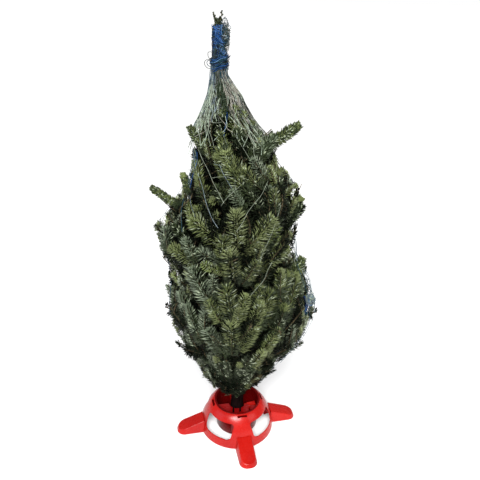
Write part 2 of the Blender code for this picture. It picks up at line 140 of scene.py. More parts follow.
def apply_modifier(obj, kind, **settings):
    only(obj)
    modifier = obj.modifiers.new(kind.title(), kind)
    for name, value in settings.items():
        setattr(modifier, name, value)
    bpy.ops.object.modifier_apply(modifier=modifier.name)


def soften(obj, width, segments=3, angle=40):
    """Rounds the edges that are sharper than an angle."""
    apply_modifier(obj, "BEVEL", width=width, segments=segments,
                   limit_method="ANGLE", angle_limit=math.radians(angle))


def cut_away(obj, cutter):
    apply_modifier(obj, "BOOLEAN", operation="DIFFERENCE", solver="EXACT", object=cutter)
    mesh = cutter.data
    bpy.data.objects.remove(cutter)
    bpy.data.meshes.remove(mesh)


def finish_piece(obj, material, slot, *nodes, smooth=35.0):
    """Smooth shading, finish, and what the piece rides on and stands for."""
    only(obj)
    bpy.ops.object.shade_smooth_by_angle(angle=math.radians(smooth))
    obj.data.materials.clear()
    obj.data.materials.append(material)
    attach(obj, "root")
    if nodes:
        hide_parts(*nodes)
    return obj


def raise_rings(obj, rows):
    """Extrudes the selected ring of edges through (radius, height) rows."""
    for (radius, height), (next_radius, next_height) in zip(rows, rows[1:]):
        bpy.ops.mesh.extrude_region_move(
            TRANSFORM_OT_translate={"value": (0.0, 0.0, next_height - height)})
        grow = next_radius / radius
        bpy.ops.transform.resize(value=(grow, grow, 1.0), center_override=(0.0, 0.0, 0.0))


def turned_shell(name, rows, closed_foot):
    """A wall turned about the upright axis, given its thickness inwards."""
    bpy.ops.mesh.primitive_circle_add(
        vertices=TURNED_SIDES, radius=rows[0][0], location=(0.0, 0.0, rows[0][1]),
        fill_type="TRIFAN" if closed_foot else "NOTHING")
    obj = added(name)
    bpy.ops.object.mode_set(mode="EDIT")
    pick(obj, "edges", lambda e: len(e.link_faces) < 2)
    raise_rings(obj, rows)
    bpy.ops.mesh.select_all(action="SELECT")
    bpy.ops.mesh.remove_doubles(threshold=1e-6)
    bpy.ops.mesh.normals_make_consistent(inside=False)
    shape = bmesh.from_edit_mesh(obj.data)
    side = max(shape.faces, key=lambda f: math.hypot(f.normal.x, f.normal.y))
    middle = side.calc_center_median()
    if side.normal.x * middle.x + side.normal.y * middle.y < 0:
        bpy.ops.mesh.flip_normals()
    bpy.ops.object.mode_set(mode="OBJECT")
    apply_modifier(obj, "SOLIDIFY", thickness=WALL, offset=-1.0)
    return obj


def new_finish(name):
    """A material, its nodes, and the shader among them."""
    material = bpy.data.materials.new(name)
    material.use_nodes = True
    return material, material.node_tree, material.node_tree.nodes["Principled BSDF"]


def fill(tree, node, inputs):
    """Sets a node's inputs to values, or wires them to the outputs given."""
    for name, value in inputs.items():
        if isinstance(value, bpy.types.NodeSocket):
            tree.links.new(value, node.inputs[name])
        else:
            node.inputs[name].default_value = value


def add_node(tree, kind, output, inputs):
    """Adds a node and gives one of its outputs."""
    node = tree.nodes.new(f"ShaderNode{kind}")
    fill(tree, node, inputs)
    return node.outputs[output]


def clouds(tree, scale, detail, roughness=0.5, stretch=None):
    """How strong a noise is at each place of a piece."""
    where = add_node(tree, "TexCoord", "Object", {})
    if stretch:
        where = add_node(tree, "Mapping", "Vector", {"Vector": where, "Scale": stretch})
    return add_node(tree, "TexNoise", "Fac", {
        "Vector": where, "Scale": scale, "Detail": detail, "Roughness": roughness})


def tones(tree, strength, places, dark, pale):
    """Runs from one colour to another between two strengths."""
    colour = add_node(tree, "ValToRGB", "Color", {"Fac": strength})
    for stop, place, shade in zip(colour.node.color_ramp.elements, places, (dark, pale)):
        stop.position, stop.color = place, (*shade, 1.0)
    return colour


def plastic_finish(name, dark, bright, gloss=0.24):
    """Moulded plastic: even colour, faint clouding, and fine scuffs in the gloss."""
    material, tree, shader = new_finish(name)
    fill(tree, shader, {
        "Base Color": tones(tree, clouds(tree, 9.0, 4.0), (0.32, 0.72), dark, bright),
        "Roughness": add_node(tree, "MapRange", "Result", {
            "Value": clouds(tree, 60.0, 8.0, 0.7),
            "From Min": 0.35, "From Max": 0.75, "To Min": 0.22, "To Max": 0.36}),
        "Normal": add_node(tree, "Bump", "Normal", {
            "Height": clouds(tree, 420.0, 2.0), "Strength": 0.03, "Distance": 0.0006}),
        "Specular IOR Level": gloss, "Coat Weight": 0.06, "Coat Roughness": 0.12})
    return material


def shell_rows():
    rows = []
    for i in range(SHELL_STEPS + 1):
        turn = math.pi / 2 * i / SHELL_STEPS
        spread = max(math.cos(turn), 0.0) ** (2 / SHELL_FULLNESS)
        rows.append((MOUTH_RADIUS + (RING_RADIUS - MOUTH_RADIUS) * spread,
                     SHELL_HEIGHT * math.sin(turn) ** (2 / SHELL_FULLNESS)))
    return rows


def shell_radius(height):
    """Outer radius of the shell at a height."""
    share = min(max(height / SHELL_HEIGHT, 0.0), 1.0) ** (SHELL_FULLNESS / 2)
    spread = (1 - share * share) ** (1 / SHELL_FULLNESS)
    return MOUTH_RADIUS + (RING_RADIUS - MOUTH_RADIUS) * spread


red_plastic = plastic_finish(
    "red moulded plastic", (0.300, 0.0046, 0.0034), (0.410, 0.0085, 0.0050))
shell = turned_shell("stand_shell", shell_rows(), closed_foot=False)
for i in range(LEGS):
    between = leg_angle(i + 0.5) - WINDOW_SWING
    out = level(between)
    depth = RING_RADIUS + CUT_SPARE - MOUTH_RADIUS
    window = block("window_cutter", out * (MOUTH_RADIUS + depth / 2) + UP * WINDOW_MIDDLE,
                   (depth, 2 * WINDOW_HALF_WIDTH, WINDOW_HIGH - WINDOW_LOW), (0.0, 0.0, between))
    bpy.ops.object.mode_set(mode="EDIT")
    for height, radius in ((WINDOW_LOW, WINDOW_LOW_CORNER), (WINDOW_HIGH, WINDOW_HIGH_CORNER)):
        pick(window, "edges", lambda e: abs((e.verts[0].co - e.verts[1].co).dot(out)) > depth * 0.9
             and abs(e.verts[0].co.z - height) < 1e-4)
        bpy.ops.mesh.bevel(offset=radius, segments=8, affect="EDGES")
    bpy.ops.object.mode_set(mode="OBJECT")
    cut_away(shell, window)
    over = leg_angle(i)
    at_slot = level(over) * (MOUTH_RADIUS + SLOT_INSET) + UP * SHELL_HEIGHT
    cut_away(shell, block("slot_cutter", at_slot, SLOT_SIZE, (0.0, 0.0, over)))
soften(shell, 0.0011)
finish_piece(shell, red_plastic, "stand_plastic", "stand_bell")


# ==================================================================== water bowl
# The bowl hangs in the shell's mouth by its rim and reaches down to the floor. It is a
# separate moulding in the same plastic, coloured a much darker red as painted shade, and
# holds the cut end of the trunk in water.

BOWL_FOOT_RADIUS = 0.062
BOWL_TURN = 0.012
BOWL_LOW_RADIUS = 0.0736
BOWL_RIM_RADIUS = MOUTH_RADIUS - 0.0005

bowl_rows = [(BOWL_FOOT_RADIUS, 0.0)]
for i in range(1, 9):
    turn = math.pi / 2 * i / 8
    bowl_rows.append((BOWL_FOOT_RADIUS + (BOWL_LOW_RADIUS - BOWL_FOOT_RADIUS) * math.sin(turn),
                      BOWL_TURN * (1 - math.cos(turn))))
for i in range(1, 7):
    share = i / 6
    bowl_rows.append((BOWL_LOW_RADIUS + (BOWL_RIM_RADIUS - BOWL_LOW_RADIUS) * share ** 1.3,
                      BOWL_TURN + (SHELL_HEIGHT - BOWL_TURN) * share))
bowl = turned_shell("water_bowl", bowl_rows, closed_foot=True)
soften(bowl, 0.0010, angle=50)
# The bowl's much darker red is painted shade for the shadowed mouth of the stand.
shade_painted_plastic = plastic_finish(
    "deep red plastic", (0.080, 0.0008, 0.0010), (0.130, 0.0012, 0.0016), gloss=0.15)
finish_piece(bowl, shade_painted_plastic, "stand_plastic", "stand_bowl")

# A slotted ledge crosses the front of the bowl, below its rim.
LEDGE_HEIGHT = 0.0890
LEDGE_REACH = 0.0300
LEDGE_EDGE = -0.008
LEDGE_THICKNESS = 0.0030
LEDGE_GAP_SIZE = (0.0065, 0.044, 0.012)
LEDGE_GAPS = ((-0.012, -0.030), (0.012, -0.030), (0.046, -0.030))

bpy.ops.mesh.primitive_circle_add(
    vertices=64, radius=BOWL_LOW_RADIUS, fill_type="NGON", location=(0.0, 0.0, LEDGE_HEIGHT))
ledge = added("bowl_ledge")
bpy.ops.object.mode_set(mode="EDIT")
bpy.ops.mesh.select_all(action="SELECT")
bpy.ops.mesh.inset(thickness=BOWL_LOW_RADIUS - LEDGE_REACH)
bpy.ops.mesh.delete(type="FACE")
pick(ledge, "faces", lambda f: f.calc_center_median().y > LEDGE_EDGE)
bpy.ops.mesh.delete(type="FACE")
bpy.ops.mesh.select_all(action="SELECT")
bpy.ops.mesh.normals_make_consistent(inside=False)
bpy.ops.object.mode_set(mode="OBJECT")
apply_modifier(ledge, "SOLIDIFY", thickness=LEDGE_THICKNESS, offset=-1.0)
for x, y in LEDGE_GAPS:
    cut_away(ledge, block("ledge_cutter", (x, y, LEDGE_HEIGHT), LEDGE_GAP_SIZE))
soften(ledge, 0.0007, segments=2)
shaded_plastic = plastic_finish(
    "shaded red plastic", (0.150, 0.0018, 0.0022), (0.240, 0.0030, 0.0032))
finish_piece(ledge, shaded_plastic, "stand_plastic", "stand_bowl")

# Behind the windows a collar and four ribs carry the shell's mouth. Both take the darker red
# of painted shade, and the ribs darken the windows' upper corners as painted shade.
COLLAR_ROWS = ((0.1030, 0.0885), (0.0822, 0.0886), (0.0822, 0.1125))
RIB_SIZE = (0.018, 0.0120, 0.030)
RIB_RADIUS, RIB_HEIGHT = 0.1000, 0.0680
RIB_LEAN, RIB_SWING = -0.60, 0.34

collar = turned_shell("bowl_collar", COLLAR_ROWS, closed_foot=False)
ribs = [collar]
for i in range(LEGS):
    beside = leg_angle(i) - RIB_SWING
    ribs.append(block(f"shell_rib_{i + 1}", level(beside) * RIB_RADIUS + UP * RIB_HEIGHT,
                      RIB_SIZE, (0.0, RIB_LEAN, beside)))
bpy.ops.object.select_all(action="DESELECT")
for piece in ribs:
    piece.select_set(True)
bpy.context.view_layer.objects.active = collar
bpy.ops.object.join()
finish_piece(collar, shade_painted_plastic, "stand_plastic", "stand_bowl", "stand_bell")


# ==================================================================== legs
# Four broad low legs, moulded hollow from below and clipped over the ring. Their tops slope
# down to a rounded toe, and a soft bevel runs round the top and catches the light.

LEG_REACH = 0.220
LEG_HALF_WIDTH = 0.0312
LEG_DRAFT = 0.0055
LEG_ROOT_HEIGHT = 0.0465
LEG_TOE_HEIGHT = 0.0135
LEG_ROOT = 0.1275
LEG_HOLLOW = 0.0075
LEG_WALL = 0.0030
LEG_EDGE_RADIUS = 0.0030
LEG_CORNER_SHARE = 0.86
LEG_SLOPE = 0.92
LEG_OFF_SHELL, LEG_UNDER_RING = 0.0005, 0.0045


def turned_copies(first, title, node):
    """Copies the first leg's piece to the other legs, then turns and finishes all of them."""
    pieces = [first]
    for i in range(1, LEGS):
        twin = in_scene(title.format(i + 1), first.data.copy())
        twin.data.name = twin.name
        pieces.append(twin)
    for i, piece in enumerate(pieces):
        piece.data.transform(Matrix.Rotation(leg_angle(i), 4, "Z"))
        finish_piece(piece, red_plastic, "stand_plastic", node.format(i + 1))


leg = block("stand_leg_1_moulding", ((LEG_ROOT + LEG_REACH) / 2, 0.0, LEG_ROOT_HEIGHT / 2),
            (LEG_REACH - LEG_ROOT, 2 * LEG_HALF_WIDTH, LEG_ROOT_HEIGHT))
bpy.ops.object.mode_set(mode="EDIT")
pick(leg, "edges", lambda e: all(v.co.x > LEG_REACH - 1e-4 for v in e.verts)
     and abs(e.verts[0].co.z - e.verts[1].co.z) > 0.01)
bpy.ops.mesh.bevel(offset=LEG_HALF_WIDTH * LEG_CORNER_SHARE, segments=12, affect="EDGES")
shape = bmesh.from_edit_mesh(leg.data)
for vert in shape.verts:
    if vert.co.z > LEG_ROOT_HEIGHT / 2:
        along = max((vert.co.x - LEG_ROOT) / (LEG_REACH - LEG_ROOT), 0.0)
        vert.co.y *= 1 - LEG_DRAFT / LEG_HALF_WIDTH
        vert.co.x -= LEG_DRAFT * along
        vert.co.z = LEG_ROOT_HEIGHT + (LEG_TOE_HEIGHT - LEG_ROOT_HEIGHT) * along ** LEG_SLOPE
        if along < 1e-3:
            vert.co.x = shell_radius(LEG_ROOT_HEIGHT) + LEG_OFF_SHELL
    elif vert.co.x < LEG_ROOT + 1e-4:
        vert.co.x = RING_RADIUS - LEG_UNDER_RING
bmesh.update_edit_mesh(leg.data)
pick(leg, "faces", lambda f: f.normal.z > 0.6)
bpy.ops.mesh.region_to_loop()
bpy.ops.mesh.bevel(offset=LEG_EDGE_RADIUS, segments=4, affect="EDGES")
pick(leg, "faces", lambda f: f.normal.z < -0.9)
bpy.ops.mesh.inset(thickness=LEG_WALL)
bpy.ops.mesh.extrude_region_move(TRANSFORM_OT_translate={"value": (0.0, 0.0, LEG_HOLLOW)})
bpy.ops.mesh.select_all(action="SELECT")
bpy.ops.mesh.normals_make_consistent(inside=False)
bpy.ops.object.mode_set(mode="OBJECT")
turned_copies(leg, "stand_leg_{}_moulding", "stand_leg_{}")


# ==================================================================== clamps
# Four jaws reach in from the bowl's wall, each under a slot of the shell, and pinch the
# trunk. They are the same plastic, with a stepped back and a narrowed nose.

CLAMP_LOW, CLAMP_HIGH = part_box("trunk_clamp_1")[0].z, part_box("trunk_clamp_1")[1].z
CLAMP_NOSE = 0.0285
CLAMP_BACK = 0.0690
CLAMP_WIDTH = 0.030
CLAMP_NOSE_SHARE = 0.60
CLAMP_STEP_INSET = 0.0045
CLAMP_STEP = (0.004, 0.0, 0.007)

clamp = block("trunk_clamp_1_jaw",
              ((CLAMP_NOSE + CLAMP_BACK) / 2, 0.0, (CLAMP_LOW + CLAMP_HIGH) / 2),
              (CLAMP_BACK - CLAMP_NOSE, CLAMP_WIDTH, CLAMP_HIGH - CLAMP_LOW))
bpy.ops.object.mode_set(mode="EDIT")
pick(clamp, "faces", lambda f: f.normal.x < -0.9)
bpy.ops.transform.resize(
    value=(1.0, CLAMP_NOSE_SHARE, 1.0), center_override=(CLAMP_NOSE, 0.0, CLAMP_LOW))
pick(clamp, "faces", lambda f: f.normal.z > 0.9)
bpy.ops.mesh.inset(thickness=CLAMP_STEP_INSET)
bpy.ops.mesh.extrude_region_move(TRANSFORM_OT_translate={"value": CLAMP_STEP})
bpy.ops.object.mode_set(mode="OBJECT")
soften(clamp, 0.0009, segments=2)
turned_copies(clamp, "trunk_clamp_{}_jaw", "trunk_clamp_{}")


# ==================================================================== trunk
# The trunk is one stem from its saw cut on the bowl's floor to the leader. Its bark is thin,
# with low ridges and resin blisters; its grey-brown is coloured almost black as painted shade.
# The net draws its leader to the left.

TRUNK_FOOT, TRUNK_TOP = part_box("trunk")[0].z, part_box("trunk")[1].z
BUTT_RADIUS = 0.0235
BUTT_FLARE = 0.003
FLARE_HEIGHT = 0.05
TRUNK_TAPER = 0.9
LEADER_RADIUS = 0.0030
LEADER_SWAY = -0.078
SWAY_FROM = 0.85
SWAY_TO = 1.35
TRUNK_SIDES = 56
TRUNK_RINGS = 300
RING_CROWDING = 1.35
TRUNK_SET_BACK = 0.0004
BARK_DEPTH, BARK_SHARE = 0.0013, 0.12


def smooth(share):
    share = min(max(share, 0.0), 1.0)
    return share * share * (3 - 2 * share)


def trunk_centre(height):
    sway = LEADER_SWAY * smooth((height - SWAY_FROM) / (SWAY_TO - SWAY_FROM))
    return Vector((sway, 0.0, height))


def trunk_radius(height):
    share = min(max(height / TRUNK_TOP, 0.0), 1.0)
    flare = BUTT_FLARE * math.exp(-height / FLARE_HEIGHT)
    return LEADER_RADIUS + (BUTT_RADIUS - LEADER_RADIUS) * (1 - share) ** TRUNK_TAPER + flare


def roughness_at(point, across, upright, shift=0):
    """A noise with its own fineness across and along the stem."""
    return noise.noise(Vector((point.x * across, point.y * across, point.z * upright + shift)))


def bark_relief(point, depth):
    """Low upright ridges, with a round blister here and there."""
    ridge, grain = roughness_at(point, 150, 38), roughness_at(point, 420, 160)
    blister = max(0.0, roughness_at(point, 85, 85, shift=7) - 0.32)
    return depth * (0.75 * ridge + 0.35 * grain + 1.6 * blister)


def bark_finish(name, dark, pale, gloss=0.15):
    """Bark in patches that are drawn out along the stem."""
    material, tree, shader = new_finish(name)
    patch = clouds(tree, 130.0, 7.0, stretch=(1.0, 1.0, 0.3))
    fill(tree, shader, {
        "Base Color": tones(tree, patch, (0.35, 0.68), dark, pale),
        "Normal": add_node(tree, "Bump", "Normal", {
            "Height": patch, "Strength": 0.5, "Distance": 0.0012}),
        "Roughness": 0.82, "Specular IOR Level": gloss})
    return material


# The bark's colours are near black: painted shade for the trunk in the stand's mouth and deep in
# the crown.
bark = bark_finish("trunk bark", (0.0014, 0.0005, 0.0005), (0.0080, 0.0030, 0.0030), gloss=0.05)
bpy.ops.mesh.primitive_cylinder_add(
    vertices=TRUNK_SIDES, radius=1.0, depth=1.0, location=(0.0, 0.0, 0.5))
trunk = added("trunk_with_bark")
bpy.ops.object.mode_set(mode="EDIT")
pick(trunk, "edges", lambda e: abs(e.verts[0].co.z - e.verts[1].co.z) > 0.5)
bpy.ops.mesh.subdivide(number_cuts=TRUNK_RINGS)
bpy.ops.object.mode_set(mode="OBJECT")
for vert in trunk.data.vertices:
    share = vert.co.z
    height = TRUNK_FOOT + (TRUNK_TOP - TRUNK_FOOT) * share ** RING_CROWDING
    around = Vector((vert.co.x, vert.co.y, 0.0))
    radius = trunk_radius(height) - TRUNK_SET_BACK
    place = trunk_centre(height) + around * radius
    vert.co = place + around * bark_relief(place, min(BARK_DEPTH, radius * BARK_SHARE))
finish_piece(trunk, bark, "bark", "trunk", smooth=60.0)


# ==================================================================== boughs
# Each bough leaves the trunk in one of four whorls, rises under the pull of the net and
# thins towards its needles. The bark is the trunk's, only smoother and browner.

SEED = 24
# Each row of an outline is a height, a sideways shift and a half width, in millimetres.
CROWN_OUTLINE = [[value / 1000 for value in row] for row in (
    (130, -6, 58), (165, -15, 74), (220, -10, 122), (270, -3, 152), (330, 0, 190),
    (420, -5, 234), (520, 5, 246), (610, 0, 226), (700, -36, 210), (780, -52, 220),
    (860, -25, 194), (930, -10, 170), (1000, -30, 130), (1060, -26, 126), (1120, -60, 86),
    (1200, -64, 52), (1236, -70, 38))]
WHORLS = (
    dict(name="skirt", count=7, first=266, root=0.155, climb=0.070, tip=0.620, reach=0.90,
         leave=26, end=94, limb=0.08, limb_radius=0.0070, spray=0.155, pairs=5),
    dict(name="waist", count=6, first=188, root=0.370, climb=0.090, tip=0.870, reach=0.92,
         leave=42, end=68, limb=0.34, limb_radius=0.0062, spray=0.150, pairs=4),
    dict(name="shoulder", count=5, first=4, root=0.610, climb=0.080, tip=1.080, reach=0.96,
         leave=44, end=72, limb=0.32, limb_radius=0.0052, spray=0.130, pairs=4),
    dict(name="top", count=4, first=225, root=0.840, climb=0.060, tip=1.195, reach=0.75,
         leave=46, end=98, limb=0.30, limb_radius=0.0042, spray=0.105, pairs=3),
)
TIP_SCATTER = 0.030
SWING_SCATTER = 7.0
STEM_RADIUS = 0.0030
HORNS = {
    ("skirt", 5): (Vector((-0.262, 0.030, 0.785)), 74),
    ("waist", 0): (Vector((-0.262, -0.020, 0.900)), 36),
    ("waist", 3): (Vector((0.172, -0.020, 0.945)), 66),
    ("shoulder", 0): (Vector((0.143, -0.030, 1.116)), 24),
    ("shoulder", 3): (Vector((-0.140, -0.050, 1.125)), 66),
}


def outline_at(rows, height):
    """(sideways shift, half width) of an outline at a height."""
    if height <= rows[0][0]:
        return rows[0][1], rows[0][2]
    for low, high in zip(rows, rows[1:]):
        if height <= high[0]:
            share = (height - low[0]) / (high[0] - low[0])
            return low[1] + share * (high[1] - low[1]), low[2] + share * (high[2] - low[2])
    return rows[-1][1], rows[-1][2]


def crown_at(height):
    return outline_at(CROWN_OUTLINE, height)


def bezier(knots, share):
    a, b, c, d = knots
    rest = 1 - share
    return (rest ** 3 * a + 3 * rest * rest * share * b
            + 3 * rest * share * share * c + share ** 3 * d)


def heading(knots, share):
    a, b, c, d = knots
    rest = 1 - share
    slope = rest * rest * (b - a) + 2 * rest * share * (c - b) + share * share * (d - c)
    return slope.normalized()


def bough_line(whorl, number):
    """The four knots of a bough's line, from the trunk's middle to the bough's tip."""
    chance = random.Random(f"{SEED}-{whorl['name']}-{number}")
    turn = math.radians(whorl["first"] + 360 * number / whorl["count"]
                        + (chance.uniform(-SWING_SCATTER, SWING_SCATTER) if number else 0.0))
    out = level(turn)
    rung = (number * 3) % whorl["count"] / max(whorl["count"] - 1, 1)
    root = trunk_centre(whorl["root"] + whorl["climb"] * rung)
    tip_height = whorl["tip"] + chance.uniform(-TIP_SCATTER, TIP_SCATTER)
    shift, half = crown_at(tip_height)
    tip = Vector((shift, 0.0, tip_height)) + out * half * whorl["reach"]
    leave = math.radians(whorl["leave"] + chance.uniform(-5, 5))
    end = math.radians(whorl["end"] + chance.uniform(-8, 8))
    if (whorl["name"], number) in HORNS:
        tip, rise = HORNS[whorl["name"], number]
        end = math.radians(rise)
    away = Vector((tip.x - root.x, tip.y - root.y, 0.0))
    away = away.normalized() if away.length > 0.02 else out
    hold = (tip - root).length * 0.38
    return (
        root,
        root + hold * (math.cos(leave) * out + math.sin(leave) * UP),
        tip - hold * (math.cos(end) * away + math.sin(end) * UP),
        tip,
    )


def joined_tubes(name, tubes, sides, relief=0.0):
    """Many tapered round tubes in one mesh. A tube is its centres and its radii."""
    points, faces = [], []
    for centres, radii in tubes:
        first = len(points)
        count = len(centres)
        for i, (centre, radius) in enumerate(zip(centres, radii)):
            along = (centres[min(i + 1, count - 1)] - centres[max(i - 1, 0)]).normalized()
            across = along.cross(Vector((0.31, 0.95, 0.05))).normalized()
            other = along.cross(across)
            for k in range(sides):
                turn = 2 * math.pi * k / sides
                ray = math.cos(turn) * across + math.sin(turn) * other
                swell = bark_relief(centre + ray * radius, relief) if relief else 0.0
                points.append(centre + ray * (radius + swell))
        for i in range(count - 1):
            for k in range(sides):
                a, b = first + i * sides + k, first + i * sides + (k + 1) % sides
                faces.append((a, b, b + sides, a + sides))
        faces.append(tuple(first + k for k in reversed(range(sides))))
        faces.append(tuple(first + (count - 1) * sides + k for k in range(sides)))
    mesh = bpy.data.meshes.new(name)
    mesh.from_pydata([tuple(p) for p in points], [], faces)
    obj = in_scene(name, mesh)
    only(obj)
    bpy.ops.object.mode_set(mode="EDIT")
    bpy.ops.mesh.select_all(action="SELECT")
    bpy.ops.mesh.normals_make_consistent(inside=False)
    bpy.ops.object.mode_set(mode="OBJECT")
    return obj


BOUGH_RINGS = 26
BOUGH_SIDES = 12
BOUGH_RELIEF = 0.0006
BARK_SET_BACK = 0.0003
ROOT_BURIED = 0.004

lines = {}
for whorl in WHORLS:
    for number in range(whorl["count"]):
        lines[whorl["name"], number] = bough_line(whorl, number)

bough_bark = bark_finish("bough bark", (0.036, 0.026, 0.018), (0.110, 0.085, 0.055))
for whorl in WHORLS:
    tubes = []
    thin = (STEM_RADIUS - whorl["limb_radius"]) / whorl["limb"]
    for number in range(whorl["count"]):
        knots = lines[whorl["name"], number]
        centres, radii = [], []
        for i in range(BOUGH_RINGS):
            share = (whorl["limb"] + 0.01) * i / (BOUGH_RINGS - 1)
            centre = bezier(knots, share)
            off_trunk = (centre - trunk_centre(centre.z)).length
            if off_trunk > trunk_radius(knots[0].z) - ROOT_BURIED:
                centres.append(centre)
                radii.append(whorl["limb_radius"] + thin * share - BARK_SET_BACK)
        tubes.append((centres, radii))
    boughs = joined_tubes(f"boughs_{whorl['name']}", tubes, BOUGH_SIDES, relief=BOUGH_RELIEF)
    finish_piece(boughs, bough_bark, "bark",
                 *[f"bough_{whorl['name']}_{n + 1}" for n in range(whorl["count"])], smooth=60.0)


# ==================================================================== shoots
# Every bough goes on as a stem with sprays to left and right, by the rule that spaced the
# needle sprays. Shoots grow on from these, up and out, until they meet the net.

SPRAY_ANGLE = 50.0
SPRAY_ROLL = 38.0
SPRAY_LIFTS = (-26.0, 14.0)
SPRAY_SCATTER = 8
SPRAYS_AFTER_LIMB, SPRAYS_END = 0.04, 0.86
SPRAY_HALF_WIDTH = 0.037
SPRAY_THICKNESS = 0.0030
SPRAY_SIZES = (1.0, 0.84, 0.70, 0.56, 0.42)
SPRAY_SWEEPS = (1.0, 0.62)
LONG_SPRAY = 0.105
TOOTH_VALLEY = 0.52
TOOTH_SWEEP = 0.90
TOOTH_FULLNESS = {2: (0.75, 0.80), 3: (0.66, 1.00, 0.74)}
SPACE_MARGIN = 0.0022
TRUNK_MARGIN = 0.005
AXIS_STEP = 0.012
CROWN_FOOT = 0.128
CROWN_SLACK = 0.014
HORN_SLACK = 0.080


def tree_of(points):
    """Finds which of some points is nearest to a place."""
    tree = KDTree(len(points))
    for i, point in enumerate(points):
        tree.insert(point, i)
    tree.balance()
    return tree


class Spaces:
    """Which bough each place belongs to: the one whose line is nearest."""

    def __init__(self, lines):
        points = []
        for key, knots in lines.items():
            count = int((knots[3] - knots[0]).length * 1.2 / AXIS_STEP)
            points += [(key, bezier(knots, i / count)) for i in range(2, count + 1)]
        self.keys = [key for key, _ in points]
        self.tree = tree_of([point for _, point in points])

    def owns(self, key, point):
        own = other = None
        for _, i, distance in self.tree.find_n(point, 24):
            if self.keys[i] == key:
                own = distance if own is None else own
            else:
                other = distance if other is None else other
            if own is not None and other is not None:
                break
        return own is not None and (other is None or other - own > 2 * SPACE_MARGIN)


def in_crown(point, slack):
    """Inside the crown's outline, off the trunk, and above the stand."""
    shift, half = crown_at(point.z)
    if point.z < CROWN_FOOT or point.z > CROWN_OUTLINE[-1][0]:
        return False
    if math.hypot(point.x - shift, point.y) > half + slack:
        return False
    return (point - trunk_centre(point.z)).length > trunk_radius(point.z) + TRUNK_MARGIN


def blade_points(root, along, across, length, half_width):
    """Corners of the toothed blade that stands for a spray, root and tip left out."""
    teeth = 3 if length > LONG_SPRAY else 2
    pitch = length / (teeth + 0.7)
    half = [(-0.001, 0.0022)]
    for i in range(teeth):
        fullness = TOOTH_FULLNESS[teeth][i]
        half.append((pitch * (i + TOOTH_SWEEP), half_width * fullness))
        if i < teeth - 1:
            half.append((pitch * (i + 1), half_width * fullness * TOOTH_VALLEY))
    flat = half + [(length, 0.0)] + [(u, -v) for u, v in reversed(half)]
    face = along.cross(across).normalized()
    corners = [root + u * along + v * across + w * face
               for w in (-SPRAY_THICKNESS / 2, SPRAY_THICKNESS / 2) for u, v in flat]
    return corners[1:-1]


def spray_places(whorl, number, knots):
    """(root, heading, away, angle, roll, length) of each spray of a mass, from a seeded rule."""
    chance = random.Random(f"{SEED}-{whorl['name']}-{number}-sprays")
    side = (knots[3] - knots[0]).cross(UP).normalized()
    first, last, pairs = whorl["limb"] + SPRAYS_AFTER_LIMB, SPRAYS_END, whorl["pairs"]
    places = []
    for i in range(2 * pairs + 1):
        sign = -1 if i % 2 else 1
        share = first + (last - first) * i / (2 * pairs)
        along = heading(knots, share)
        face = side.cross(along).normalized()
        angle = SPRAY_ANGLE + chance.uniform(-SPRAY_SCATTER, SPRAY_SCATTER)
        lift = SPRAY_LIFTS[i // 2 % 2] + chance.uniform(-SPRAY_SCATTER, SPRAY_SCATTER)
        lift = math.radians(lift)
        roll = math.radians(chance.uniform(-SPRAY_ROLL, SPRAY_ROLL))
        away = math.cos(lift) * sign * side + math.sin(lift) * face
        length = whorl["spray"] * (1.0 - 0.25 * i / (2 * pairs)) * chance.uniform(0.92, 1.10)
        root = bezier(knots, share)
        if i == 2 * pairs:
            along, angle, length = (knots[3] - root).normalized(), 0.0, (knots[3] - root).length
        places.append((root, along, away, math.radians(angle), roll, length))
    return places


def spray_that_fits(key, place):
    """(root, heading, across, length) of the largest set of a spray that stays in its space."""
    root, along, away, angle, roll, length = place
    slack = HORN_SLACK if key in HORNS and angle == 0.0 else CROWN_SLACK
    for size in SPRAY_SIZES:
        for sweep in SPRAY_SWEEPS:
            line = math.cos(angle * sweep) * along + math.sin(angle * sweep) * away
            flat = along.cross(away).cross(line).normalized()
            across = math.cos(roll) * flat + math.sin(roll) * line.cross(flat)
            half_width = SPRAY_HALF_WIDTH * (0.5 + 0.5 * size)
            corners = blade_points(root, line, across, length * size, half_width)
            if all(spaces.owns(key, p) and in_crown(p, slack) for p in corners):
                return root, line, across, length * size
    return None


NET_OUTLINE = [[value / 1000 for value in row] for row in (
    (985, -30, 138), (1051, -38, 118), (1080, -44, 106), (1105, -53, 90), (1131, -56, 74),
    (1158, -58, 60), (1186, -60, 48), (1212, -68, 36), (1240, -74, 22.5), (1262, -75, 21.5),
    (1285, -76, 20))]


def net_at(height):
    """(sideways shift, half width) of the crown as the knotted net holds it."""
    return outline_at(NET_OUTLINE, height) if height > NET_OUTLINE[0][0] else crown_at(height)


def on_ring(shift, radius, turn, height):
    return Vector((shift + radius * math.cos(turn), radius * math.sin(turn), height))


def in_metres(point):
    return Vector([value / 1000 for value in point])


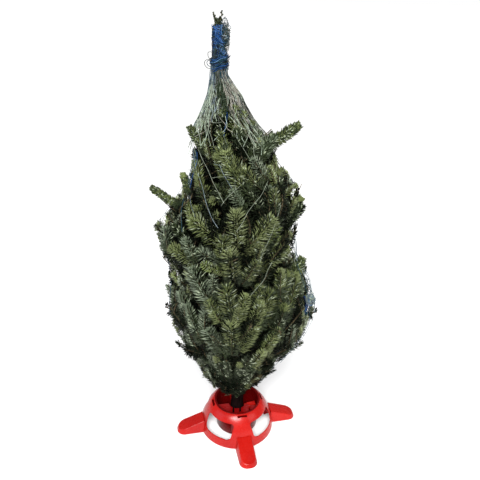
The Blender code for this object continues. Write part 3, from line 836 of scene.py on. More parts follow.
# Shoots that show on the front and on the outline: x, y, z of the root and x, y, z of the tip,
# how wide the needles spread, all in millimetres, and their green.
FRONT_SHOOTS = (
    (90, -50, 790, 182, -20, 878, 42, "deep"), (103, -10, 799, 178, 10, 892, 42, "olive"),
    (127, -50, 560, 194, -10, 696, 46, "olive"), (158, 0, 523, 210, 20, 649, 42, "deep"),
    (-173, -60, 481, -236, -20, 589, 44, "silver"), (-97, -40, 1022, -157, -50, 1111, 30, "olive"),
    (12, -56, 1038, 154, -30, 1118, 42, "olive"), (56, -70, 878, 159, -30, 943, 40, "light"),
    (-163, -30, 855, -278, -20, 920, 30, "olive"), (5, -96, 1030, 47, -37, 1097, 46, "silver"),
    (33, -80, 1021, 82, -60, 1095, 44, "silver"), (-50, -103, 1053, -70, -89, 1108, 36, "olive"),
    (-23, -101, 1058, -6, -76, 1107, 36, "deep"), (-176, -40, 770, -229, -30, 843, 34, "deep"),
    (-166, -30, 677, -259, -30, 776, 38, "deep"), (119, -40, 712, 163, -20, 806, 34, "deep"),
    (-151, -30, 897, -179, -30, 972, 28, "olive"), (-175, -50, 752, -268, -40, 804, 36, "deep"),
    (23, -104, 965, -71, -115, 1066, 64, "olive"), (-32, -109, 988, -52, -122, 1064, 46, "light"),
    (22, -141, 937, -43, -126, 1027, 58, "olive"), (57, -119, 948, -5, -125, 1016, 52, "olive"),
    (74, -86, 966, 21, -115, 1042, 50, "silver"), (91, -87, 955, 69, -82, 1017, 34, "light"),
    (-6, -100, 1036, -22, -78, 1113, 44, "deep"), (109, -96, 935, 94, -54, 988, 40, "deep"),
    (94, -124, 879, 82, -112, 958, 46, "olive"), (54, -149, 882, 21, -144, 955, 46, "deep"),
    (9, -154, 895, -31, -142, 964, 44, "silver"), (-40, -150, 909, -75, -128, 970, 44, "deep"),
    (197, -20, 427, 212, 0, 555, 38, "deep"), (-223, -20, 712, -258, -20, 759, 30, "deep"),
    (41, -95, 956, 73, -60, 1007, 32, "light"), (83, -107, 878, 106, 4, 980, 50, "deep"),
    (59, -111, 854, 77, -96, 958, 50, "silver"), (-28, -132, 786, -143, -144, 874, 66, "light"),
    (-8, -133, 753, -18, -172, 913, 66, "light"), (-1, -125, 758, 86, -151, 887, 66, "light"),
    (45, -112, 700, 139, -95, 770, 50, "light"), (-108, -132, 718, -207, -137, 783, 48, "light"),
    (-40, -151, 711, -113, -201, 764, 34, "fresh"),
    (-44, -141, 732, -124, -177, 792, 52, "silver"), (-13, -143, 661, -34, -198, 805, 66, "olive"),
    (-1, -141, 660, 50, -179, 765, 52, "olive"), (33, -129, 702, 57, -161, 809, 40, "olive"),
    (-142, -135, 784, -202, -84, 831, 42, "deep"),
    (-124, -151, 735, -163, -146, 816, 42, "silver"), (7, -98, 968, -96, -133, 916, 46, "olive"),
    (-82, -98, 869, -110, -93, 951, 46, "deep"), (-41, -110, 875, -59, -123, 957, 46, "deep"),
    (-124, -66, 899, -152, -8, 963, 38, "deep"), (10, -108, 876, 23, -118, 969, 46, "deep"),
    (5, -68, 1033, -25, -71, 1117, 46, "deep"), (50, -43, 1016, 36, -63, 1084, 42, "light"),
    (-85, -56, 992, -106, -72, 1082, 42, "olive"), (-44, -77, 994, -51, -94, 1083, 42, "deep"),
    (-64, -189, 593, -140, -184, 739, 74, "silver"), (-16, -202, 567, -44, -201, 697, 68, "olive"),
    (-51, -200, 565, -95, -191, 643, 46, "light"), (-4, -204, 576, 19, -198, 671, 46, "light"),
    (-10, -213, 576, 0, -216, 636, 34, "light"), (49, -206, 544, 88, -170, 670, 62, "olive"),
    (85, -189, 565, 144, -97, 688, 60, "olive"), (136, -159, 546, 177, -51, 664, 48, "olive"),
    (33, -213, 514, 60, -194, 647, 50, "light"), (-181, -100, 500, -221, -14, 579, 56, "silver"),
    (-130, -169, 519, -187, -101, 613, 54, "silver"),
    (-105, -182, 471, -162, -141, 593, 54, "silver"), (-149, -50, 355, -212, -20, 429, 44, "deep"),
    (-19, -208, 457, -24, -218, 585, 66, "olive"), (-43, -208, 463, -97, -204, 548, 58, "silver"),
    (-74, -80, 315, -114, -70, 376, 44, "deep"), (-36, -144, 310, -70, -210, 457, 34, "deep"),
    (-21, -143, 302, -37, -217, 449, 30, "deep"), (-2, -143, 300, 5, -220, 446, 30, "deep"),
    (5, -131, 275, 48, -208, 415, 32, "deep"), (-12, -161, 327, 37, -222, 466, 48, "deep"),
    (13, -184, 371, 78, -216, 489, 46, "olive"), (70, -199, 468, 123, -191, 551, 46, "light"),
    (4, -214, 478, 48, -217, 573, 46, "light"), (36, -50, 227, 95, -50, 293, 38, "deep"),
    (-40, -50, 189, -109, -50, 282, 42, "deep"), (127, -60, 324, 184, -30, 402, 46, "deep"),
    (157, -50, 383, 198, -20, 498, 48, "deep"), (-108, -60, 323, -160, -40, 388, 44, "deep"),
    (96, -192, 493, 136, -162, 616, 52, "deep"), (-81, -183, 636, -78, -192, 726, 38, "silver"),
    (178, -99, 599, 194, -29, 631, 38, "silver"), (47, -193, 619, 59, -176, 689, 44, "olive"),
    (118, -153, 630, 117, -126, 716, 48, "olive"), (-6, -50, 234, -1, -40, 145, 22, "deep"),
    (-40, -60, 250, -43, -50, 184, 24, "brown"), (28, -50, 244, 30, -40, 182, 24, "deep"),
    (-26, -50, 233, -22, -45, 180, 22, "deep"), (12, -45, 213, 13, -40, 159, 22, "shade"),
    (-75, -50, 249, -82, -40, 187, 24, "deep"), (66, -40, 263, 64, -40, 215, 22, "deep"),
    (-81, -70, 315, -126, -50, 306, 30, "deep"), (-74, -60, 265, -109, -50, 265, 28, "deep"),
    (82, -50, 289, 111, -30, 256, 26, "deep"), (-117, -40, 349, -121, -30, 274, 28, "deep"),
    (-109, -50, 265, -148, -30, 319, 34, "deep"), (-82, -50, 222, -121, -30, 256, 28, "deep"),
    (-102, -50, 307, -111, -30, 222, 24, "deep"), (-93, -60, 1068, -91, -50, 1148, 36, "deep"),
    (-122, -50, 1070, -114, -40, 1126, 30, "olive"), (-63, -60, 1069, -67, -50, 1159, 36, "deep"),
    (-35, -60, 1075, -29, -45, 1170, 38, "brown"), (-5, -50, 1062, -5, -35, 1153, 38, "brown"),
    (26, -50, 1058, 18, -30, 1125, 36, "deep"), (23, -35, 178, 56, -60, 249, 34, "deep"),
)
# Places that stay empty and dark: their middles and how far they reach, in millimetres.
DARK_HOLLOWS = [(in_metres(middle), reach / 1000) for *middle, reach in (
    (-74, -185, 700, 38), (-77, -140, 672, 50), (34, -181, 684, 34),
    (34, -140, 660, 46), (91, -138, 709, 34), (95, -90, 685, 46))]
FRONT_GAP = 0.034
FRONT_DEPTH = 0.88
STEM_END = 0.94
STEM_WIDTH = 0.040
SPRAY_WIDTH = 0.050
SHOOT_WIDTH = 0.052
TOP_SHOOT_WIDTH = 0.042
INNER_WIDTH = 0.056
FROND_GAP = 0.050
SHOOT_GAP = 0.0285
FROND_TRIES = 9000
SHOOT_TRIES = 16000
CORE_TRIES = 5000
CORE_GAP = 0.032
CORE_ROOT_DEPTH = 0.88
OUTER_ROOT_DEPTH = 0.97
TWIG_REACH = 0.150
NO_TWIG = 0.004
HOLD_FROM, HOLD_RUN, HOLD_POINTS = 0.12, 1.10, 60
TWIG_DETOUR, TWIG_STRAIGHT = 1.7, 0.9
NEEDLES_PAST_TIP = 0.010
SLOPE_STEP = 0.02
CROWN_TOP = 1.215
# Below the shoulders the shoots lie along the crown, above them they push outwards, and from
# the foot of the net's cone on they lie flat again.
SHOULDERS_FROM, CONE_FROM = 0.64, 0.98
SIDE_SHOOTS = ((0.10, 1), (0.22, -1), (0.48, 1), (0.60, -1))


def out_share(point):
    """How far out a point is: 0 on the crown's middle line, 1 on its outline."""
    shift, half = crown_at(point.z)
    return math.hypot(point.x - shift, point.y) / half


def surface_frame(point):
    """Outward, sideways and up the slope of the crown's outline beside a point."""
    shift, half = crown_at(point.z)
    lower, higher = crown_at(point.z - SLOPE_STEP), crown_at(point.z + SLOPE_STEP)
    out = Vector((point.x - shift, point.y, 0.0)).normalized()
    slope = (higher[1] - lower[1]) / (2 * SLOPE_STEP)
    lean = (higher[0] - lower[0]) / (2 * SLOPE_STEP)
    rise = (UP + out * slope + Vector((lean, 0.0, 0.0))).normalized()
    side = rise.cross(out).normalized()
    return side.cross(rise).normalized(), side, rise


def arched(root, tip, bow, count=5):
    """A path from root to tip that sags by bow of its length and turns up at its end."""
    run = (tip - root).length
    return [root.lerp(tip, i / (count - 1)) - UP * bow * run * math.sin(math.pi * i / (count - 1))
            for i in range(count)]


class Taken:
    """The points already covered by outer shoots, found by cell."""

    def __init__(self, cell=0.05):
        self.cell = cell
        self.cells = {}

    def key(self, p):
        return int(p.x // self.cell), int(p.y // self.cell), int(p.z // self.cell)

    def add(self, path):
        for a, b in zip(path, path[1:]):
            for t in (0.0, 0.5):
                point = a.lerp(b, t)
                self.cells.setdefault(self.key(point), []).append(point)
        self.cells.setdefault(self.key(path[-1]), []).append(path[-1])

    def near(self, point, reach):
        i, j, k = self.key(point)
        for a in (i - 1, i, i + 1):
            for b in (j - 1, j, j + 1):
                for c in (k - 1, k, k + 1):
                    for other in self.cells.get((a, b, c), ()):
                        if (other - point).length < reach:
                            return True
        return False


def nearest_whorl(height):
    for name, below in (("skirt", 0.4), ("waist", 0.65), ("shoulder", 0.9)):
        if height < below:
            return name
    return "top"


spaces = Spaces(lines)
shoots = []
wood_points = []
for whorl in WHORLS:
    for number in range(whorl["count"]):
        key = (whorl["name"], number)
        knots = lines[key]
        shares = [whorl["limb"] + (STEM_END - whorl["limb"]) * i / 16 for i in range(17)]
        stem = [bezier(knots, share) for share in shares]
        shoots.append(dict(key=key, kind="stem", path=stem, width=STEM_WIDTH))
        for place in spray_places(whorl, number, knots):
            fitted = spray_that_fits(key, place)
            if fitted:
                root, line, across, length = fitted
                shoots.append(dict(key=key, kind="spray", width=SPRAY_WIDTH,
                                   path=arched(root, root + line * length * 0.95, 0.04)))
for shoot in shoots:
    for a, b in zip(shoot["path"], shoot["path"][1:]):
        wood_points += [(a, shoot["key"]), (a.lerp(b, 0.5), shoot["key"])]
for i in range(HOLD_POINTS):
    at = trunk_centre(HOLD_FROM + HOLD_RUN * i / (HOLD_POINTS - 1))
    wood_points.append((at, (nearest_whorl(at.z), 0)))
wood = tree_of([point for point, _ in wood_points])


def holder(root, line):
    """The place on the wood that a shoot with this root and heading springs from."""
    best = None
    for point, i, distance in wood.find_n(root, 60):
        if distance > TWIG_REACH:
            break
        back = root - point
        if back.length < NO_TWIG:
            return Vector(point), wood_points[i][1]
        straight = back.normalized().dot((line + UP).normalized())
        cost = distance * (TWIG_DETOUR - TWIG_STRAIGHT * straight)
        if best is None or cost < best[0]:
            best = (cost, Vector(point), wood_points[i][1])
    return best[1:] if best else None


taken = Taken()


def grow(root, tip, width, tint, kind, bow=0.03):
    """Adds a needled shoot, and the bare twig that carries it."""
    line = (tip - root).normalized()
    held = holder(root, line)
    if not held:
        return None
    point, key = held
    run = (root - point).length
    if run > NO_TWIG:
        knots = (point, point + UP * 0.3 * run, root - line * 0.4 * run, root)
        twig = [bezier(knots, i / 5) for i in range(6)]
        shoots.append(dict(key=key, kind="twig", path=twig, width=STEM_WIDTH))
    shoot = dict(key=key, kind=kind, path=arched(root, tip, bow), width=width, tint=tint)
    shoots.append(shoot)
    taken.add(shoot["path"])
    return shoot


for *places, width, tint in FRONT_SHOOTS:
    root, tip = in_metres(places[:3]), in_metres(places[3:])
    tip = tip - (tip - root).normalized() * NEEDLES_PAST_TIP
    grow(root, tip, width / 1000, tint, "outer", bow=0.05)["placed"] = True

chance = random.Random(f"{SEED}-fronds")


def target(depth_low, depth_high):
    """A random place for a tip, between two depths of the crown."""
    height = chance.uniform(CROWN_FOOT + 0.010, CROWN_TOP)
    shift, half = crown_at(height)
    turn, depth = chance.uniform(0, 2 * math.pi), chance.uniform(depth_low, depth_high)
    return on_ring(shift, half * depth, turn, height)


def wanted_heading(tip, sweep):
    """Which way a shoot with its tip here points, swept sideways by an angle."""
    out, side, rise = surface_frame(tip)
    if tip.z < SHOULDERS_FROM:
        push = chance.uniform(-0.05, 0.16)
    elif tip.z < CONE_FROM:
        push = chance.uniform(0.20, 0.75)
    else:
        push = chance.uniform(-0.05, 0.20)
    return (math.cos(sweep) * rise + math.sin(sweep) * side + push * out).normalized()


def hollow(point):
    return any((point - middle).length < reach for middle, reach in DARK_HOLLOWS)


def room_for(root, tip, gap):
    if any(hollow(root.lerp(tip, t)) for t in (0.3, 0.6, 0.8, 1.0)):
        return False
    return not (taken.near(tip, gap) or taken.near(root.lerp(tip, 0.62), gap * 0.92))


def at_front(point):
    shift, half = crown_at(point.z)
    return point.y < -0.40 * half and 0.20 < point.z < 1.00


for _ in range(FROND_TRIES):
    tip = target(0.90, 0.93)
    if tip.z > CONE_FROM or at_front(tip) or taken.near(tip, FROND_GAP):
        continue
    line = wanted_heading(tip, math.radians(chance.uniform(-22, 22)))
    length = chance.uniform(0.110, 0.150)
    root = tip - line * length
    if not room_for(root, tip, FROND_GAP * 0.8) or out_share(root) > OUTER_ROOT_DEPTH:
        continue
    frond = grow(root, tip, SHOOT_WIDTH * chance.uniform(0.9, 1.12), None, "outer")
    if not frond:
        continue
    out, side, rise = surface_frame(tip)
    across = line.cross(out).normalized()
    for t, sign in SIDE_SHOOTS:
        angle = math.radians(chance.uniform(36, 50))
        bent = (math.cos(angle) * line + math.sin(angle) * sign * across).normalized()
        start = root + line * length * t
        reach = length * (0.78 - 0.52 * t) * chance.uniform(0.85, 1.1)
        end = start + bent * reach
        if out_share(end) < 0.96 and not hollow(end) and not taken.near(end, SHOOT_GAP * 0.85):
            side_shoot = dict(key=frond["key"], kind="outer", path=arched(start, end, 0.03),
                              width=frond["width"] * 0.88)
            shoots.append(side_shoot)
            taken.add(side_shoot["path"][2:])

for _ in range(SHOOT_TRIES):
    tip = target(0.78, 0.945)
    gap = FRONT_GAP if at_front(tip) else SHOOT_GAP
    if taken.near(tip, gap) or (at_front(tip) and out_share(tip) > FRONT_DEPTH):
        continue
    line = wanted_heading(tip, math.radians(chance.uniform(-46, 46)))
    length = chance.uniform(0.065, 0.110) * (0.8 if tip.z > 1.05 or tip.z < 0.22 else 1.0)
    root = tip - line * length
    if root.z < 0.14 or out_share(root) > OUTER_ROOT_DEPTH or not room_for(root, tip, gap):
        continue
    width = SHOOT_WIDTH if tip.z < 1.0 else TOP_SHOOT_WIDTH
    grow(root, tip, width * chance.uniform(0.82, 1.08), None, "outer")

# Inside the knotted net the leader keeps its top shoots, pressed upright, with bare tips.
LEADER_TIPS = (
    (-0.013, 0.002, 1.394, 0.013), (-0.009, -0.004, 1.387, 0.015), (0.009, -0.002, 1.399, 0.010),
    (0.004, 0.004, 1.380, 0.018), (-0.003, -0.006, 1.378, 0.020), (0.002, -0.008, 1.372, 0.022),
    (-0.006, 0.006, 1.372, 0.022))
TUFT = dict(name="tuft", count=0)
LEADER_SHOOTS = 9
LEADER_TIPS_ROOT = 1.345


def tuft_shoot(kind, root, tip, width, tint):
    shoots.append(dict(key=("tuft", 0), kind=kind, path=[root, root.lerp(tip, 0.5), tip],
                       width=width, tint=tint))


for n in range(LEADER_SHOOTS):
    turn = 2 * math.pi * n / LEADER_SHOOTS
    tuft_shoot("outer", trunk_centre(1.205 + 0.012 * n) + level(turn * 2) * 0.007,
               trunk_centre(1.290 + 0.011 * (n % 5)) + level(turn) * 0.011,
               0.026, "deep" if n % 3 else "shade")
for x, y, z, width in LEADER_TIPS:
    root = trunk_centre(LEADER_TIPS_ROOT)
    tuft_shoot("spray", root, Vector((root.x + x, y, z)), width, "deep")

# Inner shoots fill the crown, so that only dark shows between the outer ones. Their needles
# take the darkest green, painted shade.
taken = Taken()
for _ in range(CORE_TRIES):
    tip = target(0.25, 0.80)
    if taken.near(tip, CORE_GAP) or hollow(tip):
        continue
    line = wanted_heading(tip, math.radians(chance.uniform(-60, 60)))
    root = tip - line * chance.uniform(0.070, 0.100)
    off_trunk = (root - trunk_centre(root.z)).length
    if root.z > 0.13 and off_trunk > 0.03 and out_share(root) < CORE_ROOT_DEPTH:
        grow(root, tip, INNER_WIDTH, "shade", "inner")

# The net draws the lowest crown in: outer shoots and cords there sit nearer the trunk. Each
# row is a height, a shift in metres, and the shares of width and depth that are left.
SQUEEZE = (
    (0.12, -0.004, 0.80, 0.64), (0.22, -0.005, 0.84, 0.72), (0.30, -0.001, 0.835, 0.75),
    (0.38, -0.002, 0.89, 0.84), (0.46, -0.001, 0.97, 0.97), (0.54, 0.0, 1.0, 1.0))
SQUEEZE_FROM, SQUEEZE_OVER = 0.30, 0.45


def squeeze(point):
    heights, *rows = np.array(SQUEEZE).T
    shift, size, depth = (float(np.interp(point.z, heights, row)) for row in rows)
    share = smooth((out_share(point) - SQUEEZE_FROM) / SQUEEZE_OVER)
    middle = crown_at(point.z)[0]
    point.x = middle + (point.x - middle) * (1.0 - share * (1.0 - size)) + share * shift
    point.y *= 1.0 - share * (1.0 - depth)


for shoot in shoots:
    shoot["out"] = out_share(shoot["path"][-1])
    for point in () if shoot.get("placed") else shoot["path"]:
        squeeze(point)

# The top shoots stand inside the knotted cone, which also leans its back flat.
NET_BACK = 0.50
NET_FILL = 0.82
DRAWN_FROM, DRAWN_OVER = 1.00, 0.08

for shoot in shoots:
    if shoot["key"][0] == "tuft" or shoot.get("placed"):
        continue
    for point in shoot["path"]:
        drawn = smooth((point.z - DRAWN_FROM) / DRAWN_OVER)
        shift, half = crown_at(point.z)
        net_shift, net_half = net_at(point.z)
        away = Vector(((point.x - shift) / half, point.y / half))
        flat = 1.0 if away.y < 0 else NET_BACK
        point.x += drawn * (net_shift + away.x * net_half * NET_FILL - point.x)
        point.y += drawn * (away.y * net_half * NET_FILL * flat - point.y)

twig_bark = bark_finish("twig bark", (0.052, 0.042, 0.022), (0.120, 0.094, 0.052))
TWIG_RADII = {"stem": (0.0030, 0.0014), "spray": (0.0020, 0.0010), "twig": (0.0020, 0.0015),
              "inner": (0.0018, 0.0009), "outer": (0.0015, 0.0008)}
BUD_PLACES = (-0.001, 0.0015, 0.004, 0.0055)
BUD_RADII = (0.0008, 0.0020, 0.0016, 0.0004)
TWIGS_FOOT = 0.150

for whorl in WHORLS + (TUFT,):
    tubes = []
    for shoot in shoots:
        path = shoot["path"]
        low_twig = shoot["kind"] != "stem" and min(p.z for p in path) < TWIGS_FOOT
        if shoot["key"][0] != whorl["name"] or low_twig:
            continue
        thick, thin = TWIG_RADII[shoot["kind"]]
        last = len(path) - 1
        tubes.append((path, [thick + (thin - thick) * i / last for i in range(last + 1)]))
        if shoot["kind"] == "outer":
            ahead = (path[-1] - path[-2]).normalized()
            tubes.append(([path[-1] + ahead * place for place in BUD_PLACES], BUD_RADII))
    twigs = joined_tubes(f"twigs_{whorl['name']}", tubes, 5)
    finish_piece(twigs, twig_bark, "bark", smooth=60.0)


# ==================================================================== needles
# Flat blunt needles about an inch long stand in ranks along both sides and the top of each
# shoot. They are waxy dark green above and paler below, lighter on the newest growth.

RANK_PITCH = 0.0064
# Each rank of needles: its rise round the shoot, its length's share, and its spread.
RANKS = (
    (-8.0, 1.00, 64.0), (12.0, 1.02, 60.0), (36.0, 0.90, 54.0), (62.0, 0.74, 46.0),
    (84.0, 0.62, 38.0))
TIP_NEEDLES = 11
NEEDLE_SHARE = 0.56
WIDEST_AT, NEEDLE_BEND, NEEDLE_KEEL = 0.66, 0.0020, 0.0007
KIND_SHARE = {"stem": 0.6, "spray": 0.7, "inner": 0.62, "outer": 1.0, "twig": 0.55}
KIND_NEEDLE_WIDTH = {
    "stem": 0.0034, "spray": 0.0034, "inner": 0.0046, "outer": 0.0027, "twig": 0.0030}
ODD_NEEDLES = 0.32
PALE_NEEDLES = 0.11
# Each green: the needle's upper side and its underside. The two darkest greens are near black:
# painted shade for needles inside the crown.
TINTS = {
    "night": ((0.0014, 0.0022, 0.0010), (0.0028, 0.0042, 0.0020)),
    "shade": ((0.0040, 0.0062, 0.0028), (0.0080, 0.0120, 0.0058)),
    "deep": ((0.022, 0.032, 0.012), (0.046, 0.058, 0.032)),
    "olive": ((0.082, 0.102, 0.033), (0.140, 0.158, 0.072)),
    "silver": ((0.094, 0.120, 0.074), (0.180, 0.210, 0.150)),
    "light": ((0.124, 0.150, 0.055), (0.200, 0.228, 0.118)),
    "fresh": ((0.130, 0.172, 0.048), (0.200, 0.245, 0.090)),
    "brown": ((0.042, 0.037, 0.014), (0.076, 0.067, 0.030)),
    "pale": ((0.250, 0.290, 0.190), (0.340, 0.380, 0.270)),
}
DARKER = {"fresh": "olive", "light": "olive", "olive": "deep", "silver": "deep", "deep": "shade",
          "brown": "olive", "pale": "olive", "shade": "night", "night": "night"}
LIGHTER = {"night": "shade", "deep": "olive", "olive": "light"}


def waxy(name, colour, roughness, gloss):
    """A needle's face: plain colour with a slow drift from spray to spray, and a soft gloss."""
    material, tree, shader = new_finish(name)
    dark, pale = ([c * share for c in colour] for share in (0.62, 1.40))
    fill(tree, shader, {
        "Base Color": tones(tree, clouds(tree, 30.0, 6.0, 0.7), (0.34, 0.66), dark, pale),
        "Roughness": roughness, "Specular IOR Level": gloss})
    return material


def tint_of(shoot, chance):
    """Which green a shoot has, from where it stands in the crown. Inner shoots take the darkest
    green, and stems, sprays, twigs and shoots deep in the crown mostly a near-black one: painted
    shade.
    """
    if shoot["kind"] == "inner":
        return "night"
    if shoot.get("tint"):
        return shoot["tint"]
    tip = shoot["path"][-1]
    roll = chance.random()
    if shoot["kind"] in ("stem", "spray", "twig") or shoot["out"] < 0.80:
        return "shade" if roll < 0.70 else "deep"
    if tip.z < 0.28:
        return ("brown", "deep", "shade", "shade", "deep")[int(roll * 5)]
    if tip.z < SHOULDERS_FROM:
        if tip.x < -0.04:
            return ("silver", "deep", "silver", "olive", "deep")[int(roll * 5)]
        return ("olive", "olive", "deep", "silver", "light")[int(roll * 5)]
    if tip.z < CONE_FROM:
        return ("olive", "olive", "deep", "light", "silver", "fresh")[int(roll * 5.6)]
    return ("olive", "olive", "light", "silver", "deep")[int(roll * 5)]


def needle_field(path, facing, width, chance, share, broad):
    """Roots, headings, bends, upper sides, lengths and widths of the needles of one shoot,
    and how far along the shoot each needle stands."""
    points = np.array([tuple(p) for p in path])
    steps = np.diff(points, axis=0)
    step_length = np.linalg.norm(steps, axis=1)
    run = np.concatenate([[0.0], np.cumsum(step_length)])
    per_rank = max(int(run[-1] / RANK_PITCH * share), 5)
    at, flank, lean, reach = [], [], [], []
    for i, (rise, size, angle) in enumerate(RANKS):
        for sign in (0, 1):
            rank = (np.arange(per_rank) + 0.45 * sign + 0.12 * i) / per_rank
            rank = rank + (chance.random(per_rank) - 0.5) * 0.30 / per_rank
            tilt = rise + 16 * (chance.random(per_rank) - 0.5)
            at.append(rank)
            flank.append(np.where(sign == 0, tilt, 180 - tilt))
            lean.append(angle + 14 * (chance.random(per_rank) - 0.5))
            reach.append(size * (0.82 + 0.32 * chance.random(per_rank)))
    at.append(1.0 - 0.05 * chance.random(TIP_NEEDLES))
    flank.append(360 * chance.random(TIP_NEEDLES))
    lean.append(8 + 26 * chance.random(TIP_NEEDLES))
    reach.append(0.62 + 0.2 * chance.random(TIP_NEEDLES))
    at, flank, lean, reach = (np.concatenate(v) for v in (at, flank, lean, reach))
    at = np.clip(at, 0.0, 1.0)
    place = np.stack([np.interp(at * run[-1], run, points[:, k]) for k in range(3)], 1)
    cell = np.clip(np.searchsorted(run, at * run[-1], side="right") - 1, 0, len(steps) - 1)
    along = (steps / step_length[:, None])[cell]
    side = np.cross(along, facing)
    side /= np.linalg.norm(side, axis=1)[:, None]
    face = np.cross(side, along)
    lean = np.radians(lean - 30 * np.clip((at - 0.72) / 0.28, 0, 1) ** 1.5 * (lean > 36))
    flank = np.radians(flank)
    ray = np.cos(flank)[:, None] * side + np.sin(flank)[:, None] * face
    head = np.cos(lean)[:, None] * along + np.sin(lean)[:, None] * ray
    upper = face * 0.9 - along * 0.35
    upper -= (upper * head).sum(1)[:, None] * head
    upper /= np.linalg.norm(upper, axis=1)[:, None]
    length = width * NEEDLE_SHARE * reach * np.where(at < 0.05, 0.7, 1.0)
    length = length * (1 - 0.22 * np.clip((at - 0.85) / 0.15, 0, 1))
    bend = ray - (ray * head).sum(1)[:, None] * head
    return place, head, bend, upper, length, np.full(len(at), broad), at


def needle_mesh(name, fields, top, under):
    """Each needle is four faces: two broad ones above and two below that meet in a keel."""
    place, head, bend, upper, length, broad = (
        np.concatenate([field[k] for field in fields]) for k in range(6))
    count = len(place)
    across = np.cross(head, upper)
    tip = place + head * length[:, None]
    middle = (place + head * (WIDEST_AT * length)[:, None]
              + bend * NEEDLE_BEND + upper * NEEDLE_KEEL)
    across *= broad[:, None] / 2
    verts = np.stack([place, tip, middle + across, middle - across], 1)
    pattern = np.array([[0, 2, 3], [1, 3, 2], [0, 1, 2], [1, 0, 3]])
    first = np.arange(count) * 4
    faces = (first[:, None, None] + pattern[None]).reshape(-1, 3)
    mesh = bpy.data.meshes.new(name)
    mesh.vertices.add(count * 4)
    mesh.vertices.foreach_set("co", verts.reshape(-1).astype(np.float32))
    mesh.loops.add(count * 12)
    mesh.loops.foreach_set("vertex_index", faces.reshape(-1).astype(np.int32))
    mesh.polygons.add(count * 4)
    mesh.polygons.foreach_set("loop_start", (np.arange(count * 4) * 3).astype(np.int32))
    mesh.materials.append(top)
    mesh.materials.append(under)
    mesh.polygons.foreach_set("material_index", np.tile([0, 0, 1, 1], count).astype(np.int32))
    mesh.update(calc_edges=True)
    return in_scene(name, mesh)


def outline_rows(rows, heights):
    """Sideways shifts and half widths of an outline at many heights."""
    at, shift, half = np.array(rows).T
    return np.interp(heights, at, shift), np.interp(heights, at, half)


BOX_PROUD = 0.016
NEEDLES_PROUD = 0.007
NET_HEIGHT = 1.045
NET_SHARE = 0.87
BARE_RIGHT_FROM, BARE_BACK_FROM = 1.165, 1.145
HORN_FACING = Vector((0.0, -0.85, 0.50))
HORN_NEEDLES, HORN_BREADTH, HORN_ODD_NEEDLES = 2.4, 1.25, 0.62
# Needles near an outer shoot's root take a darker green, for older growth and as painted shade.
OLD_AND_SHADED_UP_TO, NEW_FROM, NEW_SHARE = 0.30, 0.82, 0.45
NEEDLES_FOOT = ((0.0, 0.122), (0.020, 0.126), (0.034, 0.156), (0.050, 0.186))
PLACED_BELOW_FOOT = 0.110


def within(shoot, tips):
    """Which needles of a shoot are kept: those with their tips inside crown, net and box."""
    x, y, z = tips.T
    placed = shoot.get("placed")
    kept = ((tips > box_low) & (tips < box_high)).all(1)
    if not placed and shoot["key"][0] != "tuft":
        shift, half = outline_rows(CROWN_OUTLINE, z)
        deep = np.where(y > 0, y / np.interp(z, (CONE_FROM, NET_HEIGHT), (1.0, NET_BACK)), y)
        kept &= np.hypot(x - shift, deep) < half + NEEDLES_PROUD
        shift, half = outline_rows(NET_OUTLINE, z)
        kept &= (z < NET_HEIGHT) | (np.hypot(x - shift, deep) < half * NET_SHARE)
        kept &= (z < BARE_RIGHT_FROM) | (x < shift + 0.30 * half)
        kept &= (z < BARE_BACK_FROM) | (y < 0.20 * half) | (x < shift)
    foot = PLACED_BELOW_FOOT if placed else 0.0
    return kept & (z > -foot + np.interp(np.hypot(x - 0.006, y), *np.array(NEEDLES_FOOT).T))


fields = {}
chance = random.Random(f"{SEED}-tints")
needle_chance = np.random.default_rng(SEED)
box_low = np.array(tuple(cad_low)) - BOX_PROUD
box_high = np.array(tuple(cad_high)) + BOX_PROUD
box_low[2] = 0.0
for shoot in shoots:
    kind, path = shoot["kind"], shoot["path"]
    tip = path[-1]
    out = surface_frame(tip)[0]
    line = (tip - path[0]).normalized()
    tint = tint_of(shoot, chance)
    outer = kind == "outer"
    horn = outer and tip.z < 1.15 and out_share(tip) > 1.03
    facing = out * 0.8 + UP * 0.5 if abs(line.dot(out)) < 0.8 else UP
    if horn:
        facing = HORN_FACING
    facing = np.array(tuple(facing - line * facing.dot(line)))
    *field, at = needle_field(
        path, facing, shoot["width"], needle_chance,
        KIND_SHARE[kind] * (HORN_NEEDLES if horn else 1.0),
        KIND_NEEDLE_WIDTH[kind] * (HORN_BREADTH if horn else 1.0))
    place, head, length = field[0], field[1], field[4]
    kept = within(shoot, place + head * length[:, None])
    some_pale = PALE_NEEDLES if outer and tint != "shade" else 0.0
    pale = needle_chance.random(len(at)) < some_pale
    new = at > (NEW_FROM if chance.random() < NEW_SHARE and outer else 2.0)
    odd = needle_chance.random(len(at)) < (HORN_ODD_NEEDLES if horn else ODD_NEEDLES)
    pale = pale & (at > OLD_AND_SHADED_UP_TO) & ~new
    # Darker needles: near an outer shoot's root, for older growth and as painted shade where the
    # base lies under other shoots, and odd ones at random.
    old_and_shaded = ((at < (OLD_AND_SHADED_UP_TO if outer else -1.0)) | odd) & ~new & ~pale
    for name, some in ((DARKER[tint], old_and_shaded), (tint, ~old_and_shaded & ~new & ~pale),
                       (LIGHTER.get(tint, tint), new), ("pale", pale)):
        some = some & kept
        if some.any():
            fields.setdefault((shoot["key"][0], name), []).append([part[some] for part in field])

# A green with only a few needles in a mass joins one that is close to it.
for mass, rare, near in (("top", "light", "olive"), ("top", "silver", "deep"),
                         ("top", "brown", "olive"), ("tuft", "pale", "olive")):
    if (mass, rare) in fields:
        fields.setdefault((mass, near), []).extend(fields.pop((mass, rare)))

